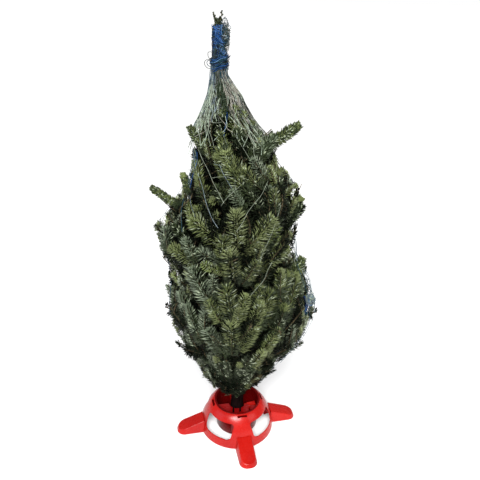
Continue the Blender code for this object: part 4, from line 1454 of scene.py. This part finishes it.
finishes = {}
for name, (top, under) in TINTS.items():
    gloss = 0.05 if top[1] < 0.01 else 0.20
    finishes[name] = (waxy(f"needle {name}", top, 0.38, gloss),
                      waxy(f"needle {name} underside", under, 0.55, gloss))
stood_for = {"tuft": ["needles_tuft"]}
for whorl in WHORLS:
    stood_for[whorl["name"]] = [f"needles_{whorl['name']}_{n + 1}" for n in range(whorl["count"])]
for (mass, tint), parts in sorted(fields.items()):
    needles = needle_mesh(f"needles_{mass}_{tint}", parts, *finishes[tint])
    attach(needles, "root")
    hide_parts(*stood_for[mass])


# ==================================================================== netting
# The tree was pulled through a sleeve of blue-white plastic net. It is still gathered and
# knotted round the leader, and hangs from there over the shoulders in torn, stretched cords.

KNOT_HEIGHT = 1.271
BUNCH_LOW, BUNCH_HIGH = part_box("net_bunch")[0].z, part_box("net_bunch")[1].z
BUNCH_SPREAD = 0.0175
BUNCH_SWELL, BUNCH_WAIST = 1.16, 1.300
BUNCH_CORDS, KNOT_CORDS, TORN_CORDS, LONG_CORDS = 300, 60, 46, 20
BUNCH_RADII = (0.0006, 0.0010)
LOOP_RADIUS = 0.0009
CORD_TINTS = {
    "blue": (0.006, 0.050, 0.175),
    "navy": (0.003, 0.011, 0.034),
    "teal": (0.006, 0.034, 0.052),
    "ice": (0.135, 0.172, 0.190),
    "pale": (0.170, 0.195, 0.145),
    "grey": (0.055, 0.060, 0.056),
    "mist": (0.245, 0.300, 0.230),
    "straw": (0.215, 0.205, 0.172),
    "moss": (0.014, 0.025, 0.011),
    "sky": (0.050, 0.118, 0.240),
}
CORD_THICKNESS = 0.00054
CORD_COPIES, COPIED_RIGHT_OF = 4, 150
TUFT_CORD, BUNDLE_CORD = 0.0006, 0.0009
CRUMPLE_STEP = 0.0060
# Cords that show on the front: their thickness against CORD_THICKNESS, their tint, and the
# places they run through in millimetres.
FRONT_CORDS = (
    (1.1, "pale", (-128, -73, 1051), (-113, -96, 1026), (-98, -109, 1003), (-83, -130, 976),
     (-65, -151, 950), (-51, -165, 929)),
    (1.1, "ice", (-157, -2, 1086), (-144, -49, 1041), (-134, -78, 998), (-114, -118, 962),
     (-101, -145, 923), (-83, -173, 888), (-65, -187, 865)),
    (1.2, "ice", (-67, -121, 1024), (-56, -127, 1001), (-45, -137, 985), (-31, -147, 966)),
    (0.9, "pale", (6, -135, 983), (-9, -145, 972), (-30, -155, 955), (-46, -160, 939),
     (-59, -166, 921)),
    (1.1, "pale", (67, -110, 977), (51, -142, 950), (32, -164, 932), (14, -174, 909),
     (2, -183, 884), (-16, -193, 858)),
    (1.0, "pale", (105, -128, 914), (100, -138, 897), (90, -155, 865), (75, -170, 826),
     (62, -184, 802), (52, -192, 769)),
    (1.1, "pale", (87, -171, 758), (76, -177, 736), (66, -183, 707), (47, -197, 688),
     (30, -207, 670)),
    (1.3, "teal", (-134, -67, 1046), (-137, -69, 1018), (-149, -66, 982), (-154, -80, 945)),
    (1.2, "blue", (-131, -73, 1042), (-131, -79, 1015), (-142, -77, 980), (-150, -88, 942)),
    (1.1, "teal", (-140, -60, 1032), (-147, -56, 1002), (-155, -61, 968), (-157, -72, 948)),
    (1.1, "teal", (-168, -85, 910), (-172, -99, 891), (-173, -118, 868), (-167, -151, 834)),
    (0.9, "ice", (-149, -103, 924), (-144, -123, 904), (-131, -150, 880)),
    (1.0, "pale", (-30, -87, 1101), (-13, -98, 1077), (1, -101, 1057), (15, -118, 1040),
     (38, -109, 1012)),
    (1.0, "pale", (-65, -82, 1113), (-53, -100, 1085), (-42, -108, 1063), (-30, -125, 1043)),
    (1.2, "blue", (-50, -60, 1151), (-50, -68, 1134), (-54, -82, 1113), (-56, -95, 1094)),
    (1.2, "grey", (-37, -56, 1151), (-28, -64, 1134), (-20, -71, 1117), (-8, -79, 1100)),
    (1.0, "pale", (-145, -3, 1098), (-147, -19, 1073), (-142, -45, 1051), (-134, -72, 1030)),
    (1.1, "pale", (-48, -5, 1237), (-31, -8, 1207), (-11, 4, 1181), (6, 8, 1145), (33, 15, 1108),
     (60, 13, 1080), (80, 26, 1051)),
    (1.0, "grey", (-48, -9, 1233), (-39, -16, 1213), (-17, -17, 1182), (1, -19, 1150),
     (21, -19, 1120), (39, -15, 1100)),
    (0.9, "grey", (36, 17, 1104), (13, -55, 1109), (0, -82, 1093)),
    (0.9, "ice", (66, 8, 1079), (47, -47, 1080), (28, -74, 1078)),
    (1.4, "ice", (-94, -12, 1245), (-100, -8, 1215), (-104, -16, 1179), (-116, -14, 1151),
     (-130, -10, 1125), (-142, -8, 1102)),
    (1.2, "ice", (-91, -14, 1245), (-96, -16, 1214), (-101, -22, 1180), (-109, -28, 1154),
     (-123, -28, 1129)),
    (1.2, "pale", (-91, -16, 1243), (-96, -19, 1206), (-101, -25, 1175), (-105, -41, 1146),
     (-107, -60, 1117), (-103, -80, 1089)),
    (1.1, "pale", (-83, -22, 1239), (-79, -33, 1204), (-86, -43, 1168), (-97, -51, 1143),
     (-116, -48, 1120), (-134, -36, 1103)),
    (1.0, "pale", (-63, -73, 1127), (-79, -73, 1124), (-96, -64, 1124), (-113, -56, 1116)),
    (1.0, "pale", (-69, -58, 1150), (-85, -60, 1137), (-104, -57, 1125), (-125, -42, 1113)),
    (1.0, "pale", (-101, -60, 1123), (-98, -75, 1104), (-88, -91, 1084), (-82, -99, 1062)),
    (1.0, "grey", (-77, -56, 1150), (-71, -72, 1126), (-64, -91, 1098), (-61, -102, 1074)),
    (0.9, "pale", (-86, -123, 985), (-69, -128, 990), (-48, -131, 992), (-26, -134, 990)),
    (0.9, "pale", (-23, -134, 990), (-23, -143, 976), (-20, -150, 962)),
    (0.9, "ice", (-34, -132, 995), (-48, -127, 1010), (-62, -123, 1019), (-81, -117, 1023)),
    (1.9, "blue", (208, -30, 566), (217, -30, 544), (215, -30, 521), (210, -30, 498)),
    (2.0, "blue", (213, -30, 551), (221, -30, 529), (217, -30, 502), (210, -30, 466),
     (202, -30, 434), (185, -30, 393), (167, -30, 360), (158, -30, 335)),
    (1.9, "blue", (220, -20, 553), (219, -20, 526), (215, -20, 499), (210, -20, 475)),
    (1.9, "teal", (226, -30, 506), (219, -30, 467), (206, -30, 427), (192, -30, 394),
     (171, -30, 356), (161, -30, 339)),
    (1.4, "ice", (219, -20, 605), (227, -20, 590), (229, -20, 568), (237, -20, 550),
     (245, -20, 531), (240, -20, 511), (239, -20, 484), (231, -20, 460), (223, -20, 432),
     (215, -20, 404)),
    (1.4, "ice", (216, -30, 589), (227, -30, 574), (239, -30, 552), (234, -30, 529),
     (226, -30, 513), (224, -30, 490), (219, -30, 467)),
    (1.2, "ice", (211, -10, 599), (222, -10, 588), (226, -10, 570), (218, -10, 554),
     (229, -10, 539), (240, -10, 524), (235, -10, 505)),
    (1.4, "grey", (201, -20, 634), (212, -20, 616), (220, -20, 594), (232, -20, 572),
     (240, -20, 546), (245, -20, 523), (238, -20, 492), (225, -20, 452), (215, -20, 412),
     (194, -20, 374), (172, -20, 340)),
    (1.4, "ice", (213, -30, 419), (220, -30, 411), (212, -30, 394), (193, -30, 377),
     (174, -30, 352)),
    (1.2, "ice", (233, -10, 562), (244, -10, 547), (246, -10, 528), (237, -10, 520),
     (226, -10, 532), (231, -10, 551)),
)


def flowing(points, per=4):
    """A smooth line through the points."""
    points = [Vector(p) for p in points]
    ends = [2 * points[0] - points[1]] + points + [2 * points[-1] - points[-2]]
    line = []
    for a, b, c, d in zip(ends, ends[1:], ends[2:], ends[3:]):
        for i in range(per):
            t = i / per
            line.append(0.5 * ((2 * b) + (c - a) * t + (2 * a - 5 * b + 4 * c - d) * t * t
                               + (3 * b - a - 3 * c + d) * t * t * t))
    return line + [points[-1]]


def net_plastic(name, colour):
    """Drawn plastic filament, paler in cloudy patches."""
    material, tree, shader = new_finish(f"net {name}")
    dark = [c * 0.70 for c in colour]
    pale = [min(c * 1.35 + 0.02, 0.9) for c in colour]
    fill(tree, shader, {
        "Base Color": tones(tree, clouds(tree, 75.0, 3.0), (0.38, 0.66), dark, pale),
        "Roughness": 0.50, "Specular IOR Level": 0.08})
    return material


cords = {"bunch": [], "sleeve": []}
chance = random.Random(f"{SEED}-net")


def add_cord(group, tint, radius, points):
    cords[group].append((tint, [Vector(p) for p in points], radius))


def any_way():
    return Vector((chance.uniform(-1, 1), chance.uniform(-1, 1), chance.uniform(-1, 1)))


# The bunch: cords wound and rucked round the leader, brightest at its middle and its right.
for n in range(BUNCH_CORDS):
    low = chance.uniform(BUNCH_LOW + 0.002, BUNCH_HIGH - 0.030)
    high = min(low + chance.uniform(0.020, 0.070), BUNCH_HIGH + 0.002)
    turn, wind = chance.uniform(0, 2 * math.pi), chance.uniform(-2.6, 2.6)
    wave, beat = chance.uniform(0.2, 0.7), chance.uniform(2, 6)
    spread = BUNCH_SPREAD * chance.uniform(0.66, 1.0)
    points = []
    for i in range(15):
        t = i / 14
        height = low + (high - low) * t + 0.003 * math.sin(beat * 2 * math.pi * t + turn)
        angle = turn + wind * t + wave * math.sin(beat * math.pi * t)
        ring = spread * (1.0 + 0.10 * math.sin(9 * t + turn))
        ring *= BUNCH_SWELL if height < BUNCH_WAIST else 1.0
        points.append(trunk_centre(height) + level(angle) * ring)
    middle = points[7]
    right = (middle.x - trunk_centre(middle.z).x) / BUNCH_SPREAD
    if middle.z > 1.325 and abs(right) < 0.7:
        tint = chance.choice(("blue", "blue", "blue", "navy", "blue", "sky"))
    elif right > 0.35:
        tint = chance.choice(("sky", "teal", "blue", "ice", "teal"))
    elif right > -0.10:
        tint = chance.choice(("blue", "teal", "navy", "sky", "navy"))
    else:
        tint = chance.choice(("navy", "moss", "teal", "moss", "navy"))
    add_cord("bunch", tint, chance.uniform(*BUNCH_RADII), points)

# The knot: slanting turns that draw the sleeve tight, with two loose loops at the left.
for n in range(KNOT_CORDS):
    turn, spread = chance.uniform(0, 2 * math.pi), BUNCH_SPREAD * chance.uniform(1.12, 1.55)
    slant, height = chance.uniform(0.004, 0.013), KNOT_HEIGHT + chance.uniform(-0.015, 0.015)
    arc = chance.uniform(3.0, 6.2)
    points = []
    for i in range(22):
        angle = turn + arc * i / 21
        at = height + slant * math.cos(angle) + 0.0015 * math.sin(5 * angle + turn)
        ray = Vector((math.cos(angle) * spread - 0.0015, math.sin(angle) * spread, 0.0))
        points.append(trunk_centre(at) + ray)
    add_cord("bunch", chance.choice(("blue", "teal", "navy", "navy", "sky", "teal", "moss")),
             chance.uniform(*BUNCH_RADII), points)
for tint, *points in (
    ("grey", (-92, -12, 1297), (-99, -12, 1299), (-104.5, -10, 1297), (-105, -10, 1290),
     (-103, -10, 1284), (-97, -12, 1281)),
    ("grey", (-96, -12, 1280), (-107, -10, 1279), (-113.5, -6, 1274), (-114.5, -4, 1266),
     (-110, -4, 1259), (-103, -8, 1256), (-96, -12, 1258)),
    ("teal", (-96, -10, 1276), (-103, -8, 1277), (-108, -4, 1272), (-107, -2, 1265),
     (-101, -4, 1261), (-95, -6, 1264)),
    ("navy", (-56, -12, 1282), (-49, -12, 1288), (-45, -12, 1291), (-50, -10, 1284)),
    ("grey", (-60, -16, 1268), (-51, -14, 1276), (-48, -10, 1283), (-53, -12, 1290)),
):
    add_cord("bunch", tint, LOOP_RADIUS, flowing([in_metres(p) for p in points], 3))

# Crumpled net: a frayed tuft beside the leader, and a bundle torn loose at the lower right.
for group, middle, size, count, radius, tints in (
    ("bunch", (-63.5, 0, 1338), (17, 15, 45), 210, TUFT_CORD,
     ("grey", "teal", "grey", "ice", "moss", "teal")),
    ("sleeve", (223, -58, 573), (15.5, 17, 21), 70, BUNDLE_CORD,
     ("ice", "sky", "ice", "ice", "grey", "mist")),
):
    middle, size = in_metres(middle), in_metres(size)
    for n in range(count):
        spread = chance.uniform(0.55, 1.15)
        away = any_way().normalized()
        points = [middle + 0.8 * spread * Vector([a * b for a, b in zip(away, size)])]
        drift = any_way().normalized()
        for i in range(9):
            drift = (drift + 0.9 * any_way()).normalized()
            here = points[-1] + drift * CRUMPLE_STEP
            apart = here - middle
            outside = math.sqrt(sum((a / b) ** 2 for a, b in zip(apart, size))) / spread
            points.append(here if outside < 1.0 else middle + apart / outside)
        add_cord(group, chance.choice(tints), radius, flowing(points, 2))

# Below the knot the sleeve's left side stays gathered in a few blue strands.
for n in range(9):
    x, y = chance.uniform(-0.004, 0.004), chance.uniform(-0.016, 0.0)
    points = [(-0.095 + 0.5 * x, y, 1.266), (-0.0965 + x, y, 1.246),
              (-0.098 + x, y - 0.002, 1.226), (-0.101 + x, y - 0.006, 1.200),
              (-0.106 + 1.5 * x, y - 0.010, 1.175)]
    add_cord("sleeve", chance.choice(("teal", "sky", "teal", "ice", "ice")), 0.0006,
             flowing(points[:chance.choice((4, 5))], 4))

# The cone: two families of cords that cross in drawn-out diamonds down to the shoulders.
CONE_CORDS = 64
CONE_TOP = 1.268
SPINE = ((1.120, -0.052), (1.160, -0.058), (1.200, -0.069), (1.250, -0.080))


def cone_tint(layer, middle):
    """A cord's tint by where it runs: dark down the spine, palest on the cone's left."""
    off = middle.x - float(np.interp(middle.z, *np.array(SPINE).T))
    if middle.z > 1.225:
        return chance.choice(("teal", "navy", "ice") if off < -0.008 else
                             ("moss", "moss", "grey") if off < 0.007 else
                             ("grey", "grey", "straw", "teal"))
    if middle.y < 0 and abs(off) < 0.011 and middle.z > 1.12 and chance.random() < 0.92:
        return "moss"
    if off > 0.030 and middle.z < 1.185 and chance.random() < 0.55:
        return chance.choice(("moss", "grey"))
    if layer:
        return chance.choice(("moss", "grey", "pale"))
    if off < 0:
        return chance.choice(("mist", "mist", "pale", "mist", "ice", "grey"))
    return chance.choice(("straw", "straw", "mist", "grey"))


for layer in (0, 1):
    for family in (-1, 1):
        for n in range(CONE_CORDS):
            turn = 2 * math.pi * (n + 0.3 * chance.random()) / CONE_CORDS
            twist = family * chance.uniform(4.6, 5.6)
            kink, beat = chance.uniform(0.03, 0.08), chance.uniform(45, 120)
            phase = chance.uniform(0, 6)
            last = turn + twist * 0.13
            end = chance.uniform(1.068, 1.098) + 0.062 * max(-math.sin(last), 0.0)
            points = []
            for i in range(36):
                height = CONE_TOP + (end - CONE_TOP) * i / 35
                shift, half = net_at(height)
                drop = CONE_TOP - height
                angle = turn + twist * drop + kink * math.sin(beat * drop + phase)
                ring = half * (1.00 - 0.10 * layer + 0.02 * math.sin(55 * drop + phase))
                depth = math.sin(angle) * (NET_BACK if math.sin(angle) > 0 else 1.0)
                points.append(Vector((shift + ring * math.cos(angle), ring * depth, height)))
            for i in range(0, 35, 5):
                add_cord("sleeve", cone_tint(layer, points[i + 2]), 0.00062, points[i:i + 6])

# Torn strands that hang from the cone's lower edge over the shoulders.
for n in range(TORN_CORDS):
    turn = math.radians(chance.uniform(-200, 20))
    top = chance.uniform(1.075, 1.105) + 0.060 * max(-math.sin(turn), 0.0)
    drop = chance.uniform(0.035, 0.085)
    swing = chance.uniform(-0.5, 0.5)
    points = []
    for i in range(7):
        t = i / 6
        height = top - drop * t
        shift, half = net_at(height)
        angle = turn + swing * t * t + 0.05 * math.sin(7 * t + turn)
        ring = half * (1.0 - 0.04 * math.sin(math.pi * t)) + 0.004 * t
        points.append(on_ring(shift, ring, angle, height))
    add_cord("sleeve", chance.choice(("mist", "pale", "mist", "straw")), 0.00065,
             flowing(points, 3))

# Long cords that ran on down the tree, round its sides and back.
for n in range(LONG_CORDS):
    turn = math.radians(chance.uniform(12, 168))
    top, foot = chance.uniform(0.94, 1.06), chance.uniform(0.50, 0.80)
    twist = chance.choice((-1, 1)) * chance.uniform(0.8, 2.4)
    points = []
    for i in range(26):
        height = top + (foot - top) * i / 25
        shift, half = crown_at(height)
        angle = turn + twist * (top - height)
        points.append(on_ring(shift, half * 0.98, angle, height))
    add_cord("sleeve", chance.choice(("pale", "ice", "teal", "pale")), 0.0008, points)
for family in (-1, 1):
    for n in range(9):
        turn = math.radians(-8 + 15 * n)
        points = []
        for i in range(24):
            height = 0.76 - 0.42 * i / 23
            shift, half = crown_at(height)
            angle = turn + family * 1.7 * (0.76 - height) + 0.02 * math.sin(37 * height + n)
            points.append(on_ring(shift, half, angle, height))
        add_cord("sleeve", "ice" if n % 3 else "teal", 0.0006, points)

# The cords that show on the front. Blue and teal ones at the far right hang as a few together.
for thickness, tint, *points in FRONT_CORDS:
    together = tint in ("blue", "teal") and points[0][0] > COPIED_RIGHT_OF
    line = flowing([in_metres(p) for p in points], 4)
    for n in range(CORD_COPIES if together else 1):
        aside = Vector((-0.0022 * n, 0.0, 0.0015 * (n % 2)))
        shade = "navy" if tint == "blue" and n > 1 else tint
        add_cord("sleeve", shade, thickness * CORD_THICKNESS, [p + aside for p in line])
for _, line, _ in cords["sleeve"]:
    for point in line:
        if point.z < SQUEEZE[-1][0]:
            squeeze(point)

CORD_SIDES = 5
plastics = {tint: net_plastic(tint, colour) for tint, colour in CORD_TINTS.items()}
order = list(plastics)
for group, some in cords.items():
    tubes = [(line, [radius] * len(line)) for _, line, radius in some]
    net = joined_tubes(f"net_{group}_cords", tubes, CORD_SIDES)
    finish_piece(net, plastics[order[0]], "net", "net_bunch", smooth=60.0)
    for tint in order[1:]:
        net.data.materials.append(plastics[tint])
    slots = np.repeat([order.index(tint) for tint, _, _ in some],
                      [(len(line) - 1) * CORD_SIDES + 2 for _, line, _ in some])
    net.data.polygons.foreach_set("material_index", slots.astype(np.int32))


# ==================================================================== floor, light and camera
# A plain pale floor, soft light from a window-sized panel at the upper left and a weaker one
# at the right, and a telephone held at head height, about one and a half metres away.

bpy.ops.mesh.primitive_plane_add(size=600.0, location=(0.0, 0.0, -0.0005))
floor = added("floor")
paper, tree, shader = new_finish("pale floor")
fill(tree, shader, {"Base Color": (0.88, 0.88, 0.875, 1.0), "Roughness": 0.9})
floor.data.materials.append(paper)
floor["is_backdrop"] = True

# The world lights the tree softly, and is plain white where the camera sees it.
WHITE = (1.0, 1.0, 1.0)

world = bpy.data.worlds.new("studio")
bpy.context.scene.world = world
world.use_nodes = True
tree = world.node_tree
soft = tree.nodes["Background"]
fill(tree, soft, {"Color": (*WHITE, 1.0), "Strength": 0.28})
fill(tree, tree.nodes["World Output"], {0: add_node(tree, "MixShader", 0, {
    0: add_node(tree, "LightPath", "Is Camera Ray", {}),
    1: soft.outputs[0],
    2: add_node(tree, "Background", 0, {"Color": (*WHITE, 1.0)})})})

key = bpy.data.lights.new("key", "SUN")
key.energy = 4.5
key.angle = math.radians(28.0)
key_direction = Vector((-0.01, 1.00, -1.02))
in_scene("key", key).rotation_euler = key_direction.to_track_quat("-Z", "Y").to_euler()
PANELS_AIM = Vector((0.0, 0.0, 0.6))
BLUISH = (0.75, 0.80, 1.0)

for name, place, size, power, colour in (
    ("front panel", (-0.7, -2.3, 2.3), 0.9, 34.0, WHITE),
    ("side panel", (2.2, -1.2, 1.6), 1.4, 14.0, WHITE),
    ("left panel", (-1.9, -0.7, 1.2), 1.3, 8.5, BLUISH),
    ("back panel", (0.3, 2.6, 2.2), 1.4, 16.0, WHITE),
):
    lamp = bpy.data.lights.new(name, "AREA")
    lamp.shape = "SQUARE"
    lamp.size = size
    lamp.energy = power
    lamp.color = colour
    panel = in_scene(name, lamp)
    panel.location = place
    panel.visible_glossy = name != "back panel"
    panel.rotation_euler = (PANELS_AIM - Vector(place)).to_track_quat("-Z", "Y").to_euler()

CAMERA_BACK = 1.4716
CAMERA_HEIGHT = 1.4334
CAMERA_PITCH = math.radians(24.7658)
CAMERA_ROLL = math.radians(1.70203)

eye = bpy.data.cameras.new("telephone")
eye.lens = 39.0
eye.sensor_width = 36.0
eye.shift_x = -0.0040
eye.shift_y = -0.0063
camera = in_scene("telephone", eye)
camera.matrix_world = (
    Matrix.Translation((0.0, -CAMERA_BACK, CAMERA_HEIGHT))
    @ Matrix.Rotation(math.pi / 2 - CAMERA_PITCH, 4, "X")
    @ Matrix.Rotation(CAMERA_ROLL, 4, "Z")
)
bpy.context.scene.camera = camera

bpy.context.scene.view_settings.view_transform = "Standard"
low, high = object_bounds()
